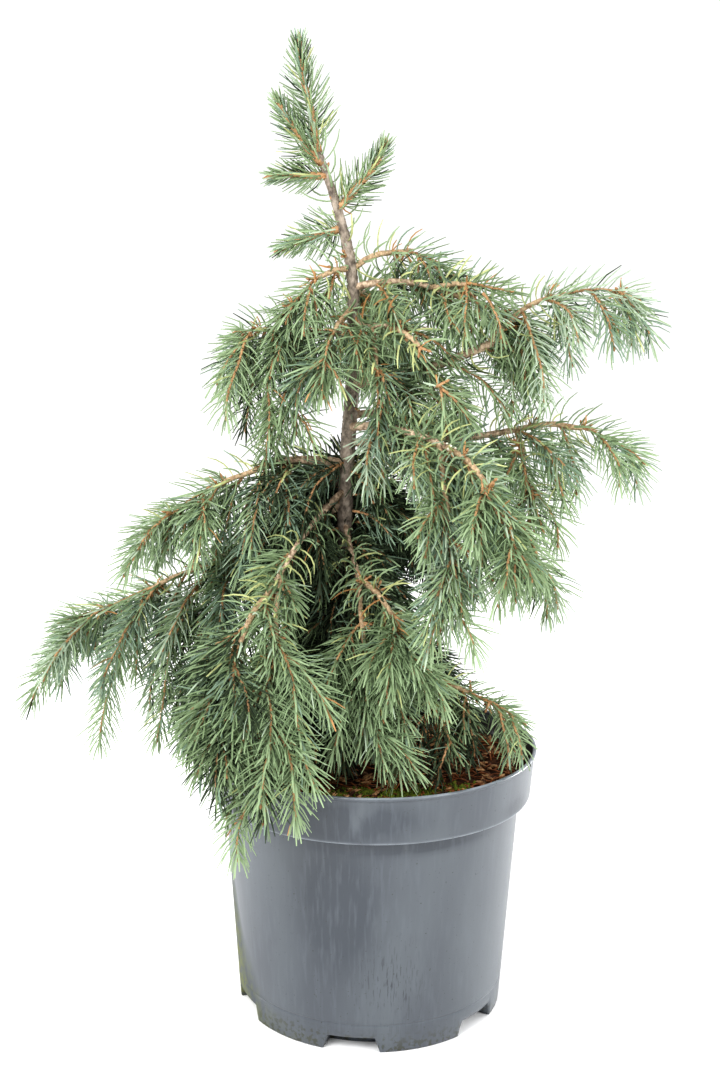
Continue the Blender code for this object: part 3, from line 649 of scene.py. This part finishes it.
def needles_on(kind, line, rng, size):
    """Roots, directions, lengths, bows and sags of the needles along a twig.  They follow
    a spiral of the golden angle and lean forward, more so and shorter near the tip."""
    pitch, longest, lean_root, lean_tip, sag, bare, shorter = NEEDLED[kind]
    length = line_length(line)
    count = max(2, int(length * (1 - bare) / pitch))
    share = np.linspace(bare, 1.0, count) + rng.uniform(-0.3, 0.3, count) / count
    share = np.clip(share, 0, 1)
    run = np.concatenate([[0], np.cumsum(np.linalg.norm(np.diff(line, axis=0), axis=1))]) / length
    curves = [np.stack([np.interp(share, run, v[:, k]) for k in range(3)], -1) for v in (line, *frames(line))]
    roots, (along, first, second) = curves[0], [unit(v) for v in curves[1:]]
    angle = np.radians(GOLDEN_ANGLE * np.arange(count) + rng.uniform(-14, 14, count))
    out = np.cos(angle)[:, None] * first + np.sin(angle)[:, None] * second
    near_tip = np.clip(1 - (1 - share) * length / TIP_STRETCH.get(kind, 0.019), 0, 1)
    lean = np.radians(lean_root + (lean_tip - lean_root) * near_tip + rng.normal(0, 4, count))
    ways = out * np.sin(lean)[:, None] + along * np.cos(lean)[:, None]
    sizes = size * longest * rng.uniform(0.86, 1.05, count) * (1 - shorter * near_tip)
    return roots, ways, sizes, out - along, sag * rng.uniform(0.6, 1.3, count)


# %% Tones of needles
TONES = {
    "fresh_green": "#92A483",
    "mid_green": "#7F9070",
    "blue_green": "#7F9280",
    "pale_bloom": "#A6B4A0",
    # painted shade: a dark tone that stands for needles lying in shade
    "painted_shade_green": "#3C4836",
    "yellow_green": "#B3B886",
    "dry_orange": "#B58C62",
}
MIXES = {
    "bright": (0.64, 0.17, 0.08, 0.04, 0.02, 0.045, 0.005),
    "light": (0.46, 0.31, 0.12, 0.02, 0.05, 0.035, 0.005),
    "silver": (0.32, 0.20, 0.18, 0.24, 0.02, 0.035, 0.005),
    "mid": (0.34, 0.30, 0.14, 0.06, 0.10, 0.050, 0.010),
    # painted shade: the shade mix, for sprays that lie low, inside or at the back of the crown
    "shade": (0.12, 0.32, 0.22, 0.03, 0.28, 0.025, 0.005),
    "tip": (0.34, 0.28, 0.10, 0.16, 0.08, 0.035, 0.005),
    # painted shade: the dark mix, for twigs near the trunk and the innermost masses
    "dark": (0.04, 0.24, 0.22, 0.01, 0.46, 0.022, 0.008),
    "old": (0.30, 0.20, 0.05, 0.01, 0.06, 0.35, 0.03),
    "dry": (0.0, 0.0, 0.0, 0.04, 0.0, 0.10, 0.86),
}
OWN_TONE = {"upright": 0.0, "old": 0.3, "bough": 0.3}
# The shade and dark looks are painted shade for masses that lie low, inside or at the back of the crown.
LOOKS = {
    "bright": ("front_left_skirt", "front_left_end", "front_left"),
    "light": ("front_low_mid", "front_low_end", "front_low", "front_high_end", "front_right_end"),
    "silver": ("right_mid_end", "right_mid", "left_low_end", "left_mid_end", "left_fan", "right_low_end",
               "front_right", "front_right_low", "right_low"),
    "shade": ("left_low_hang", "right_base_low", "front_high_low", "upper_left_back", "upper_right_back",
              "back_mid_end", "back_left_end", "back_low_left", "back_right_low", "back_left_low", "back_mid",
              "back_left", "back_low", "back_low_end", "back_right", "back_right_end"),
    "dark": ("front_base", "left_base", "left_mid_inner", "right_inner", "right_base"),
}
# Painted shade: twigs near the trunk below INNER_TOP, and front-left twigs far to the left or hanging low, get
# darker mixes.
INNER = 0.058
INNER_TOP = 0.47
TURNED_AWAY = -0.095
LOW_HANG = 0.25
LEADERS = 5


def mix_of(name, kind, root):
    """The mixture of tones of a twig, by the kind of its wood, how near it is to the
    trunk, and its mass.  The darker mixes near the trunk, on low or far-left front-left twigs and on shaded masses
    are painted shade."""
    if kind in ("old", "bough", "trunk"):
        return MIXES["old"]
    if kind == "stub":
        return MIXES["dry"]
    if kind == "upright":
        return MIXES["tip"]
    axis = trunk_at(min(root[2], TRUNK_TIP))[0]
    # painted shade: twigs that start near the trunk, low in the crown, get the dark mix
    if root[2] < INNER_TOP and np.hypot(*(root - axis)[:2]) < INNER:
        return MIXES["dark"]
    # painted shade: front-left twigs far to the left or hanging low get the shade mix
    if name.startswith("front_left") and (root[0] < TURNED_AWAY or root[2] < LOW_HANG):
        return MIXES["shade"]
    return MIXES[next((look for look, names in LOOKS.items() if name in names), "mid")]


def deal_needles(kinds):
    """Roots, ways, sizes, bows and sags of every needle on these kinds of twig, by tone.
    One tone leads on each twig, so that it reads as one."""
    rng = np.random.default_rng(23)
    heap = {tone: [] for tone in TONES}
    for name, kind, line in TWIGS:
        if kind not in kinds:
            continue
        needles = needles_on(kind, line, rng, 0.78 if name.startswith("right_base") else 1.0)
        keep = clear_of_pot(needles[0] + needles[1] * needles[2][:, None], 0.0015)
        needles = [part[keep] for part in needles]
        mix = np.array(mix_of(name, kind, line[0]))
        chance = mix[:LEADERS]**2 / (mix[:LEADERS]**2).sum()
        leader = rng.choice(LEADERS, p=chance)
        own = OWN_TONE.get(kind, 0.66)
        weights = mix / mix.sum() * (1 - own) + own * (np.arange(len(TONES)) == leader)
        picks = rng.choice(len(TONES), len(needles[0]), p=weights)
        for n, tone in enumerate(TONES):
            heap[tone].append([part[picks == n] for part in needles])
    return {tone: [np.concatenate(part) for part in zip(*rows)] for tone, rows in heap.items()}


# %% Needle pieces
MOST_NEEDLES = 14000
GLOSS = 0.3
needle_finishes = {tone: new_finish("spruce_needle_" + tone, TONES[tone], 0.55, Specular_IOR_Level=GLOSS)[0]
                   for tone in TONES}
needle_pieces = []
for title, rings, kinds in (("needles", STRAIGHT, ("slim", "open", "full", "upright", "stub")),
                            ("old_needles", BOWED, ("old", "bough", "trunk"))):
    for tone, needles in deal_needles(kinds).items():
        total = len(needles[0])
        for k, chosen in enumerate(np.array_split(np.arange(total), math.ceil(total / MOST_NEEDLES))):
            points, quads, ends = needle_mesh(rings, *[part[chosen] for part in needles])
            needle_pieces.append(surface("%s_%s_%d" % (title, tone, k + 1), points, [quads, ends],
                                         needle_finishes[tone], smooth=False))
print(len(needle_pieces), "pieces of needles")

# %% [markdown]
# ## Bark
# The trunk of a young spruce is thin-barked, grey-brown and scaly, with rings of old bud
# scales.  The mesh carries the scales as real relief, and the finish adds their colour.

# %% Bark finish
def mottled(name, dark, pale, roughness, scale, spread, stretch=1.0, grain=900.0, depth=0.0005):
    """A finish whose colour goes from dark to pale by noise of this scale per metre, and
    whose surface has a fine grain."""
    material, tree, shader = new_finish(name, pale, roughness)
    place = add(tree, "ShaderNodeTexCoord")
    longer = add(tree, "ShaderNodeMapping", links=[("Vector", place.outputs["Object"])], Scale=(1, 1, stretch))
    patches = add(tree, "ShaderNodeTexNoise", Scale=scale, Detail=6.0, Roughness=0.65,
                  links=[("Vector", longer.outputs["Vector"])])
    ramp = add(tree, "ShaderNodeValToRGB", links=[("Fac", patches.outputs["Fac"])])
    ends = ramp.color_ramp.elements
    ends[0].position, ends[0].color = 0.5 - spread, linear(dark)
    ends[1].position, ends[1].color = 0.5 + spread, linear(pale)
    tree.links.new(ramp.outputs["Color"], shader.inputs["Base Color"])
    fine = add(tree, "ShaderNodeTexNoise", Scale=grain, Detail=4.0, links=[("Vector", place.outputs["Object"])])
    bump = add(tree, "ShaderNodeBump", Strength=0.5, Distance=depth, links=[("Height", fine.outputs["Fac"])])
    tree.links.new(bump.outputs["Normal"], shader.inputs["Normal"])
    return material


bark = mottled("scaly_spruce_bark", "#60574F", "#A99D91", 0.85, 240.0, 0.14, stretch=0.6)
bough_bark = mottled("flaky_bough_bark", "#7D6856", "#D2BDA6", 0.82, 300.0, 0.12, stretch=0.8)
old_bark = mottled("old_twig_bark", "#86705A", "#CDB596", 0.80, 420.0, 0.16)
young_bark = mottled("young_twig_bark", "#8E6C4F", "#C8A27A", 0.60, 420.0, 0.20)


# %% Limbs with relief
def limb_surface(line, radii, sides, relief, rng):
    """Rings of a limb whose radius swells and shrinks by relief: sums of sine waves round
    and along it, plus a fine random scale, and closed by a point at each end."""
    along, first, second = frames(line)
    run = np.concatenate([[0], np.cumsum(np.linalg.norm(np.diff(line, axis=0), axis=1))])[:, None]
    angle = 2 * math.pi * np.arange(sides)[None] / sides
    wave = (np.sin(3 * angle + run * 700 + rng.uniform(0, 6)) + np.sin(5 * angle - run * 1100)
            + np.sin(run * 1900 + rng.uniform(0, 6)) * 0.7) / 2.7
    rough = rng.uniform(-1, 1, (len(line), sides))
    radius = np.asarray(radii)[:, None] * (1 + relief * (0.6 * wave + 0.5 * rough))
    out = np.cos(angle)[..., None] * first[:, None] + np.sin(angle)[..., None] * second[:, None]
    points = (line[:, None] + out * radius[..., None]).reshape(-1, 3)
    points = np.vstack([points, line[0], line[-1] + along[-1] * radii[-1] * 0.8])
    low, high = len(points) - 2, len(points) - 1
    j = np.arange(sides)
    k = (j + 1) % sides
    last = (len(line) - 1) * sides
    caps = np.concatenate([np.stack([np.full(sides, low), k, j], -1),
                           np.stack([np.full(sides, high), last + j, last + k], -1)])
    return points, wrapped(len(line), sides), caps


def joined(limbs):
    """Points and faces of several limbs in one mesh."""
    points, quads, caps, first = [], [], [], 0
    for one, four, three in limbs:
        points.append(one)
        quads.append(four + first)
        caps.append(three + first)
        first += len(one)
    return np.concatenate(points), [np.concatenate(quads), np.concatenate(caps)]


rng = np.random.default_rng(3)
heights = np.linspace(TRUNK[0][0], TRUNK_TIP, 420)
trunk_points = np.array([trunk_at(h)[0] for h in heights])
trunk_radii = np.array([trunk_at(h)[1] for h in heights])
trunk_piece = surface("trunk_bark", *joined([limb_surface(trunk_points, trunk_radii, 36, 0.11, rng)]), bark)
SWOLLEN = {"right_mid": 1.3, "left_mid": 1.3, "left_low": 1.4, "front_left": 0.85, "front_low": 0.85}
bough_limbs = []
for name, line in BOUGH_LINES.items():
    fine = resample(line, 90)
    radii = SWOLLEN.get(name, 1.0) * np.linspace(BOUGHS[name][6], BOUGHS[name][7], 90)
    bough_limbs.append(limb_surface(fine, radii, 16, 0.12, rng))
bough_piece = surface("bough_bark", *joined(bough_limbs), bough_bark)
TWIG_RADII = {"old": 0.0026, "slim": 0.0013, "open": 0.0013, "full": 0.0013, "upright": 0.0034, "stub": 0.0015}


def twig_surface(name, kinds, material, relief, taper):
    """One piece of all the twigs of these kinds, each a slim tapering limb."""
    limbs = []
    for _, kind, line in TWIGS:
        if kind in kinds:
            count = max(4, int(line_length(line) / 0.006))
            radii = TWIG_RADII[kind] * np.linspace(1, taper, count)
            limbs.append(limb_surface(resample(line, count), radii, 6, relief, rng))
    return surface(name, *joined(limbs), material)


twig_piece = twig_surface("young_twigs", ("slim", "open", "full", "upright"), young_bark, 0.08, 0.60)
old_twig_piece = twig_surface("old_twigs", ("old",), old_bark, 0.16, 0.75)
stub_piece = twig_surface("bud_clusters", ("stub",), young_bark, 0.20, 0.70)

# %% [markdown]
# ## Buds
# Each twig ends in a small blunt bud of overlapping tan scales.

# %% Buds
bud_finish, tree, shader = new_finish("bud_scales", "#A47F5C", 0.55)


def ovoids(places, ways, lengths, width, flatness=1.0):
    """Many small ovoids: rings of five corners at three shares of the length whose radius
    follows a sine, closed at both ends, and flattened to this share of their width."""
    lengths, width = (np.broadcast_to(size, len(places))[:, None] for size in (lengths, width))
    guide = np.where(np.abs(ways[:, 2:]) < 0.8, np.array([[0, 0, 1.0]]), np.array([[0, 1.0, 0]]))
    across = np.cross(ways, guide)
    across /= np.linalg.norm(across, axis=1)[:, None]
    flat = np.cross(ways, across)
    shares = np.array([0.22, 0.58, 0.88])
    angle = 2 * math.pi * np.arange(5) / 5
    ring = (np.cos(angle)[None, :, None] * across[:, None]
            + np.sin(angle)[None, :, None] * flat[:, None] * flatness) * width[:, None] / 2
    rows = [(places + ways * lengths * s)[:, None] + ring * math.sin(math.pi * (s * 0.9 + 0.1)) for s in shares]
    ends = [places[:, None], (places + ways * lengths)[:, None]]
    points = np.concatenate(rows + ends, axis=1)
    base = 17 * np.arange(len(places))[:, None, None]
    quads = wrapped(3, 5)[None] + base
    j = np.arange(5)
    k = (j + 1) % 5
    caps = np.concatenate([np.stack([np.full(5, 15), k, j], -1), np.stack([np.full(5, 16), 10 + j, 10 + k], -1)])
    return points.reshape(-1, 3), [quads.reshape(-1, 4), (caps[None] + base).reshape(-1, 3)]


BUD = (0.0048, 0.0027)
STRONG_BUD = (0.0120, 0.0056)
ENDING = [(line[-1] - (kind == "upright") * 0.003 * unit(line[-1] - line[-2]), unit(line[-1] - line[-2]),
           *(STRONG_BUD if kind == "upright" else BUD))
          for _, kind, line in TWIGS if kind not in ("bough", "old", "trunk")]
bud_piece = surface("buds", *ovoids(*map(np.array, zip(*ENDING))), bud_finish)

# %% Resin
# Drops of dried resin, whitish, sit where boughs end.
resin, tree, shader = new_finish("dried_resin", "#E6DFD2", 0.35)
RESINOUS = ("left_low", "front_left", "right_low", "left_high", "front_right")
rng = np.random.default_rng(41)
places = np.concatenate([BOUGH_LINES[name][-1] + rng.normal(0, 0.0022, (5, 3)) for name in RESINOUS])
resin_piece = surface("resin_drops", *ovoids(places, unit(rng.normal(0, 1, places.shape)), 0.0042, 0.0030), resin)

# %% [markdown]
# ## Container
# The real one is injection-moulded polypropylene, dark slate grey and a little glossy.
# Its wall is turned as one profile.  Six openings in the foot are made by lifting the
# lowest rows of the wall where the angle falls inside one of them.

# %% Container wall
POT_SIDES = 360
CREASE = 0.024


def notch_lift(angle, radius):
    """Height of the foot's lower edge at an angle: the openings are NOTCH_HEIGHT tall
    with sloping sides."""
    step = 360 / NOTCHES
    away = (np.degrees(angle) - NOTCH_FIRST + step / 2) % step - step / 2
    half_low = np.degrees(NOTCH_WIDTH_LOW / 2 / radius)
    half_high = np.degrees(NOTCH_WIDTH_HIGH / 2 / radius)
    return np.clip((half_low - np.abs(away)) / (half_low - half_high), 0, 1) * NOTCH_HEIGHT


def container_rows():
    """Profile of the wall as (radius, height) from the middle of the underside, out, up
    and over the rim, and down inside to the growing medium."""
    inner = BASE_RADIUS - NOTCH_DEPTH
    body = np.unique(np.append(np.linspace(0.0145, COLLAR_BOTTOM - 0.001, 44), CREASE + np.linspace(-2e-3, 2e-3, 9)))
    crease = -0.0006 * np.exp(-((body - CREASE) / 0.0009) ** 2)
    lip_radius = RIM_RADIUS - 0.0011
    rows = [(0.0, 0.0), (inner - 0.03, 0.0), (inner - 0.0005, 0.0), (inner, 0.0004), (inner, 0.0008),
            (BASE_RADIUS - 0.0012, 0.0), (BASE_RADIUS - 0.0003, 0.0004), (BASE_RADIUS, 0.0012)]
    rows += [(float(np.interp(h, [0, COLLAR_BOTTOM], [BASE_RADIUS, BODY_RADIUS])) + c, h)
             for h, c in zip(body, crease)]
    rows += [(BODY_RADIUS, COLLAR_BOTTOM), (COLLAR_RADIUS - 0.0013, COLLAR_BOTTOM),
             (COLLAR_RADIUS - 0.0004, COLLAR_BOTTOM + 0.0003), (COLLAR_RADIUS, COLLAR_BOTTOM + 0.0010)]
    rows += [(float(np.interp(h, [COLLAR_BOTTOM, POT_HEIGHT], [COLLAR_RADIUS, lip_radius])), h)
             for h in COLLAR_BOTTOM + np.append([0.0016, 0.0024, 0.0034], np.linspace(0.005, 0.0352, 12))]
    bead = np.radians(np.linspace(-80, 190, 12))
    rows += [(RIM_RADIUS - 0.0017 + 0.0017 * math.cos(a), POT_HEIGHT - 0.0017 + 0.0017 * math.sin(a)) for a in bead]
    rows += [(RIM_RADIUS - WALL - 0.0010, POT_HEIGHT - 0.004), (COLLAR_RADIUS - WALL, SOIL_TOP + 0.006),
             (COLLAR_RADIUS - WALL, SOIL_TOP - 0.004), (0.05, SOIL_TOP - 0.010), (0.0, SOIL_TOP - 0.010)]
    return np.array(rows)


rows = container_rows()
angle = 2 * math.pi * np.arange(POT_SIDES) / POT_SIDES
lift = notch_lift(angle, BASE_RADIUS)[None]
height = np.broadcast_to(rows[:, 1:], (len(rows), POT_SIDES)).copy()
foot = slice(4, 8)
height[foot] = np.maximum(height[foot], height[foot] + lift)
radius = np.broadcast_to(rows[:, :1], height.shape)
points = np.stack([radius * np.sin(angle), -radius * np.cos(angle), height], -1)[1:-1].reshape(-1, 3)
points = np.vstack([points, [0, 0, rows[0, 1]], [0, 0, rows[-1, 1]]])
count = len(rows) - 2
j = np.arange(POT_SIDES)
k = (j + 1) % POT_SIDES
last = (count - 1) * POT_SIDES
low, high = len(points) - 2, len(points) - 1
caps = np.concatenate([np.stack([np.full(POT_SIDES, low), k, j], -1),
                       np.stack([np.full(POT_SIDES, high), last + j, last + k], -1)])
plastic, tree, shader = new_finish("moulded_polypropylene", "#444950", 0.32, Specular_IOR_Level=0.8)
pot_piece = surface("pot_wall", points, [wrapped(count, POT_SIDES), caps], plastic)


def painted(name, values):
    """Keeps one value per point of the wall, for the finish to read."""
    pot_piece.data.attributes.new(name, "FLOAT", "POINT").data.foreach_set("value", values.astype(np.float32))


def bell(values, middle, spread):
    return np.exp(-((values - middle) / spread) ** 2)


ALGAE_HEIGHT = 0.170
ALGAE_FADE = 0.080
turned = np.degrees(np.arctan2(points[:, 0], -points[:, 1]))
across, high = np.hypot(*points[:, :2].T), points[:, 2]
painted("scratched", bell(turned, 8, 12) * bell(high, 0.060, 0.032))
ragged = 1 + 0.10 * np.sin(0.15 * turned) + 0.06 * np.sin(0.41 * turned)
painted("algae", 2.0 * np.clip((ALGAE_HEIGHT * ragged * bell(turned, -100, 40) - high) / ALGAE_FADE, 0, 1))
# darker at the very foot, and in a band at the height of the openings' tops on the front left
painted("darker_foot", bell(high, 0.0, 0.010) + 0.7 * bell(high, NOTCH_HEIGHT, 0.005) * bell(turned, -25, 30))
# painted highlight: paler edges along the collar's ledge and on the rim, with some wear
painted("edge_highlight", (across > BODY_RADIUS + 0.004) * bell(high, COLLAR_BOTTOM, 0.0014) + bell(high, POT_HEIGHT, 0.0008))
# painted shade, with dirt: the wall inside the rim, above the growing medium, is made near black
painted("inside", (high > SOIL_TOP - 0.008) * (across < COLLAR_RADIUS - WALL / 2 + (high > SOIL_TOP + 0.008) * WALL / 2))
DAMP = ((-13, 14, 0.125, 0.052), (-6, 20, 0.204, 0.014), (-50, 10, 0.200, 0.015), (62, 8, 0.193, 0.007),
        (15, 30, 0.178, 0.005))
painted("damp", 1.8 * sum(bell(turned, around, wide) * bell(high, up, tall) for around, wide, up, tall in DAMP))

# %% Container finish
# Layers from the base up: colour, noise scale per metre, where the noise begins and ends
# to show, the stretch along x, y and z, and the painted value that lets it show
LAYERS = (
    ("#555B60", 16.0, 0.36, 0.74, (1, 1, 0.30), None),
    ("#363C44", 34.0, 0.29, 0.42, (1, 1, 0.40), "damp"),
    ("#2C3138", 700.0, 0.56, 0.64, (1, 1, 0.10), "scratched"),
    ("#565C63", 320.0, 0.50, 1.00, (1, 1, 0.10), None),
    # painted highlight along the ledge and the rim, with some wear
    ("#858C92", 60.0, 0.20, 0.60, (1, 1, 1), "edge_highlight"),
    ("#2B302C", 520.0, 0.67, 0.73, (1, 1, 1), None),
    # darker towards the foot
    ("#33352A", 260.0, 0.50, 0.60, (1, 1, 1), "darker_foot"),
    ("#5E623F", 190.0, 0.36, 0.76, (1, 1, 0.6), "algae"),
    # painted shade, with dirt, on the inner wall above the growing medium
    ("#1F1E1A", 90.0, 0.10, 0.40, (1, 1, 1), "inside"),
)
GLOSSY = 0.32
DULL = 0.95
place = add(tree, "ShaderNodeTexCoord")
colour = add(tree, "ShaderNodeRGB")
colour.outputs["Color"].default_value = linear("#444950")
for hex_colour, scale, begins, shows, stretch, value in LAYERS:
    shape = add(tree, "ShaderNodeMapping", links=[("Vector", place.outputs["Object"])], Scale=stretch)
    cloud = add(tree, "ShaderNodeTexNoise", Scale=scale, Detail=5.0, links=[("Vector", shape.outputs["Vector"])])
    mask = add(tree, "ShaderNodeMapRange", From_Min=begins, From_Max=shows, links=[("Value", cloud.outputs["Fac"])])
    shown = mask.outputs["Result"]
    if value:
        paint = add(tree, "ShaderNodeAttribute", {"attribute_name": value})
        shown = add(tree, "ShaderNodeMath", {"operation": "MULTIPLY", "use_clamp": True},
                    links=[(0, shown), (1, paint.outputs["Fac"])]).outputs["Value"]
    colour = add(tree, "ShaderNodeMixRGB", Color2=linear(hex_colour),
                 links=[("Fac", shown), ("Color1", colour.outputs["Color"])])
tree.links.new(colour.outputs["Color"], shader.inputs["Base Color"])
green = add(tree, "ShaderNodeAttribute", {"attribute_name": "algae"})
dull = add(tree, "ShaderNodeMapRange", To_Min=GLOSSY, To_Max=DULL, links=[("Value", green.outputs["Fac"])])
tree.links.new(dull.outputs["Result"], shader.inputs["Roughness"])
grain = add(tree, "ShaderNodeTexNoise", Scale=1400.0, Detail=2.0, links=[("Vector", place.outputs["Object"])])
bump = add(tree, "ShaderNodeBump", Strength=0.10, Distance=0.0003, links=[("Height", grain.outputs["Fac"])])
tree.links.new(bump.outputs["Normal"], shader.inputs["Normal"])

# %% [markdown]
# ## Growing medium
# Bark and peat, dark brown and lumpy, with shed needles, chips of bark and moss on top.

# %% Lumpy top
soil = mottled("bark_and_peat", "#22170F", "#71492D", 0.95, 260.0, 0.17)
SOIL_RADIUS = COLLAR_RADIUS - WALL - 0.0004
rng = np.random.default_rng(8)
radii = np.linspace(0.004, SOIL_RADIUS, 60)
angle = 2 * math.pi * np.arange(220) / 220
crown = SOIL_TOP + SOIL_CROWN * (1 - (radii / SOIL_RADIUS) ** 2)
bumps = rng.normal(0, 0.0011, (60, 220))
bumps = (bumps + np.roll(bumps, 1, 1) + np.roll(bumps, -1, 1)) / 2
bumps[-1] = 0
height = crown[:, None] + bumps
points = np.stack([radii[:, None] * np.sin(angle), -radii[:, None] * np.cos(angle), height], -1).reshape(-1, 3)
skirt = np.stack([SOIL_RADIUS * np.sin(angle), -SOIL_RADIUS * np.cos(angle), np.full(220, SOIL_TOP - 0.006)], -1)
points = np.vstack([points, skirt, [0, 0, SOIL_TOP + SOIL_CROWN], [0, 0, SOIL_TOP - 0.006]])
j = np.arange(220)
k = (j + 1) % 220
caps = np.concatenate([np.stack([np.full(220, len(points) - 2), j, k], -1),
                       np.stack([np.full(220, len(points) - 1), 60 * 220 + k, 60 * 220 + j], -1)])
quads = wrapped(61, 220)[:, ::-1]
soil_piece = surface("soil_top", points, [quads, caps], soil)


# %% Shed needles on the soil
def scattered(count, rng, length, lift=0.0015):
    """Roots and ways of things that lie on the soil."""
    radius = SOIL_RADIUS * 0.96 * np.sqrt(rng.uniform(0.01, 1, count))
    turn = rng.uniform(0, 2 * math.pi, count)
    height = SOIL_TOP + SOIL_CROWN * (1 - (radius / SOIL_RADIUS) ** 2) + lift
    roots = np.stack([radius * np.sin(turn), -radius * np.cos(turn), height], -1)
    spin = rng.uniform(0, 2 * math.pi, count)
    ways = np.stack([np.cos(spin), np.sin(spin), rng.uniform(-0.05, 0.15, count)], -1)
    ways /= np.linalg.norm(ways, axis=1)[:, None]
    inside = np.hypot(*(roots + ways * length)[:, :2].T) < SOIL_RADIUS * 0.985
    return roots[inside], ways[inside]


dry_needles, tree, shader = new_finish("shed_needles", "#9A5F34", 0.7)
roots, ways = scattered(900, rng, 0.018)
up = np.tile([[0, 0, 1.0]], (len(roots), 1))
points, quads, ends = needle_mesh(STRAIGHT, roots, ways, rng.uniform(0.012, 0.018, len(roots)), up, np.full(len(roots), 0.06))
litter_piece = surface("shed_needles_on_soil", points, [quads, ends], dry_needles)

# %% Chips and moss
chips = mottled("pine_bark_chips", "#442A1A", "#CDA479", 0.9, 90.0, 0.08)
roots, ways = scattered(620, rng, 0.014, 0.0012)
sizes = rng.uniform(0.006, 0.014, len(roots))
chip_piece = surface("bark_chips", *ovoids(roots, unit(ways * [1, 1, 3]), sizes, 0.0050, 0.45), chips)
moss = mottled("moss", "#2C3512", "#7F8C33", 0.95, 500.0, 0.15)
MOSS_PATCHES = ((-0.030, -0.088, 130), (-0.008, -0.084, 170), (0.018, -0.088, 190), (0.040, -0.084, 110),
                (0.066, -0.070, 60), (-0.060, -0.060, 90))
places = np.concatenate([rng.normal((x, y, SOIL_TOP + 0.0022), (0.007, 0.006, 0.0004), (count, 3))
                         for x, y, count in MOSS_PATCHES])
tufts = unit(np.array([0, 0, 1.0]) + rng.normal(0, 0.4, places.shape))
moss_piece = surface("moss_tufts", *ovoids(places, tufts, rng.uniform(0.0025, 0.0045, len(places)), 0.0034), moss)

# %% [markdown]
# ## What each piece stands for
# The pieces ride on the one body, and each hides the solids that it stands for.

# %% Ride and replace
MASS_NODES = ["foliage_" + name for name in MASSES]
BOUGH_NODES = ["bough_" + name for name in BOUGHS]
for made in needle_pieces + [twig_piece, old_twig_piece, stub_piece, bud_piece, resin_piece, litter_piece,
                             chip_piece, moss_piece]:
    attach(made, "root")
for made, slot in ((trunk_piece, "bark"), (bough_piece, "bark"), (pot_piece, "pot_plastic"),
                   (soil_piece, "growing_medium")):
    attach(made, "root")
for made in needle_pieces + [twig_piece, old_twig_piece]:
    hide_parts(*MASS_NODES)
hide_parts("trunk")
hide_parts(*BOUGH_NODES)
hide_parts("pot")
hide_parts("growing_medium")
print(len(MASS_NODES) + len(BOUGH_NODES) + 3, "solids are stood for")

# %% [markdown]
# ## Floor, light and camera
# A pale floor, a bright even sky and one large soft light, as in a white photo booth.

# %% Floor
floor_finish, tree, shader = new_finish("matt_white_board", "#FFFFFF", 0.9)
floor_points = np.array([[-8, -8, -0.0004], [8, -8, -0.0004], [8, 8, -0.0004], [-8, 8, -0.0004]], float)
floor = surface("floor", floor_points, [np.array([[0, 1, 2, 3]])], floor_finish)

# %% Light
world = bpy.data.worlds.new("white_booth")
bpy.context.scene.world = world
world.use_nodes = True
world.node_tree.nodes["Background"].inputs["Color"].default_value = linear("#FFFFFF")
world.node_tree.nodes["Background"].inputs["Strength"].default_value = 0.76


def soft_light(name, place, target, size, watts):
    """A square area light at a place that shines at a target."""
    lamp = bpy.data.lights.new(name, "AREA")
    lamp.energy, lamp.size = watts, size
    made = bpy.data.objects.new(name, lamp)
    made.location = place
    made.rotation_mode = "QUATERNION"
    made.rotation_quaternion = (Vector(target) - Vector(place)).to_track_quat("-Z", "Y")
    bpy.context.scene.collection.objects.link(made)
    return made


soft_light("key", (-1.2, -1.8, 1.9), (0, 0, 0.4), 1.4, 48)
soft_light("fill", (1.6, -1.4, 1.2), (0, 0, 0.4), 1.4, 19)
soft_light("left_edge", (-1.5, 0.7, 0.16), (0, 0, 0.10), 0.6, 15)
soft_light("right_edge", (1.5, 0.7, 0.16), (0, 0, 0.10), 0.6, 20)

# %% Camera
# The lens, height and tilt were worked out from the marks of a rule and the round rim.
CAMERA_PLACE = (-0.01177, -1.2176, 0.6305)
CAMERA_PITCH = 0.189
CAMERA_ROLL = 0.009
lens = bpy.data.cameras.new("camera")
lens.lens, lens.sensor_width, lens.sensor_fit = 50.0, 36.0, "AUTO"
camera = bpy.data.objects.new("camera", lens)
bpy.context.scene.collection.objects.link(camera)
camera.matrix_world = (Matrix.Translation(CAMERA_PLACE)
                       @ Matrix.Rotation(math.pi / 2 - CAMERA_PITCH, 4, "X")
                       @ Matrix.Rotation(CAMERA_ROLL, 4, "Z"))
bpy.context.scene.camera = camera
bpy.context.scene.view_settings.view_transform = "Standard"
bpy.context.scene.view_settings.look = "High Contrast"
print("camera at", CAMERA_PLACE)
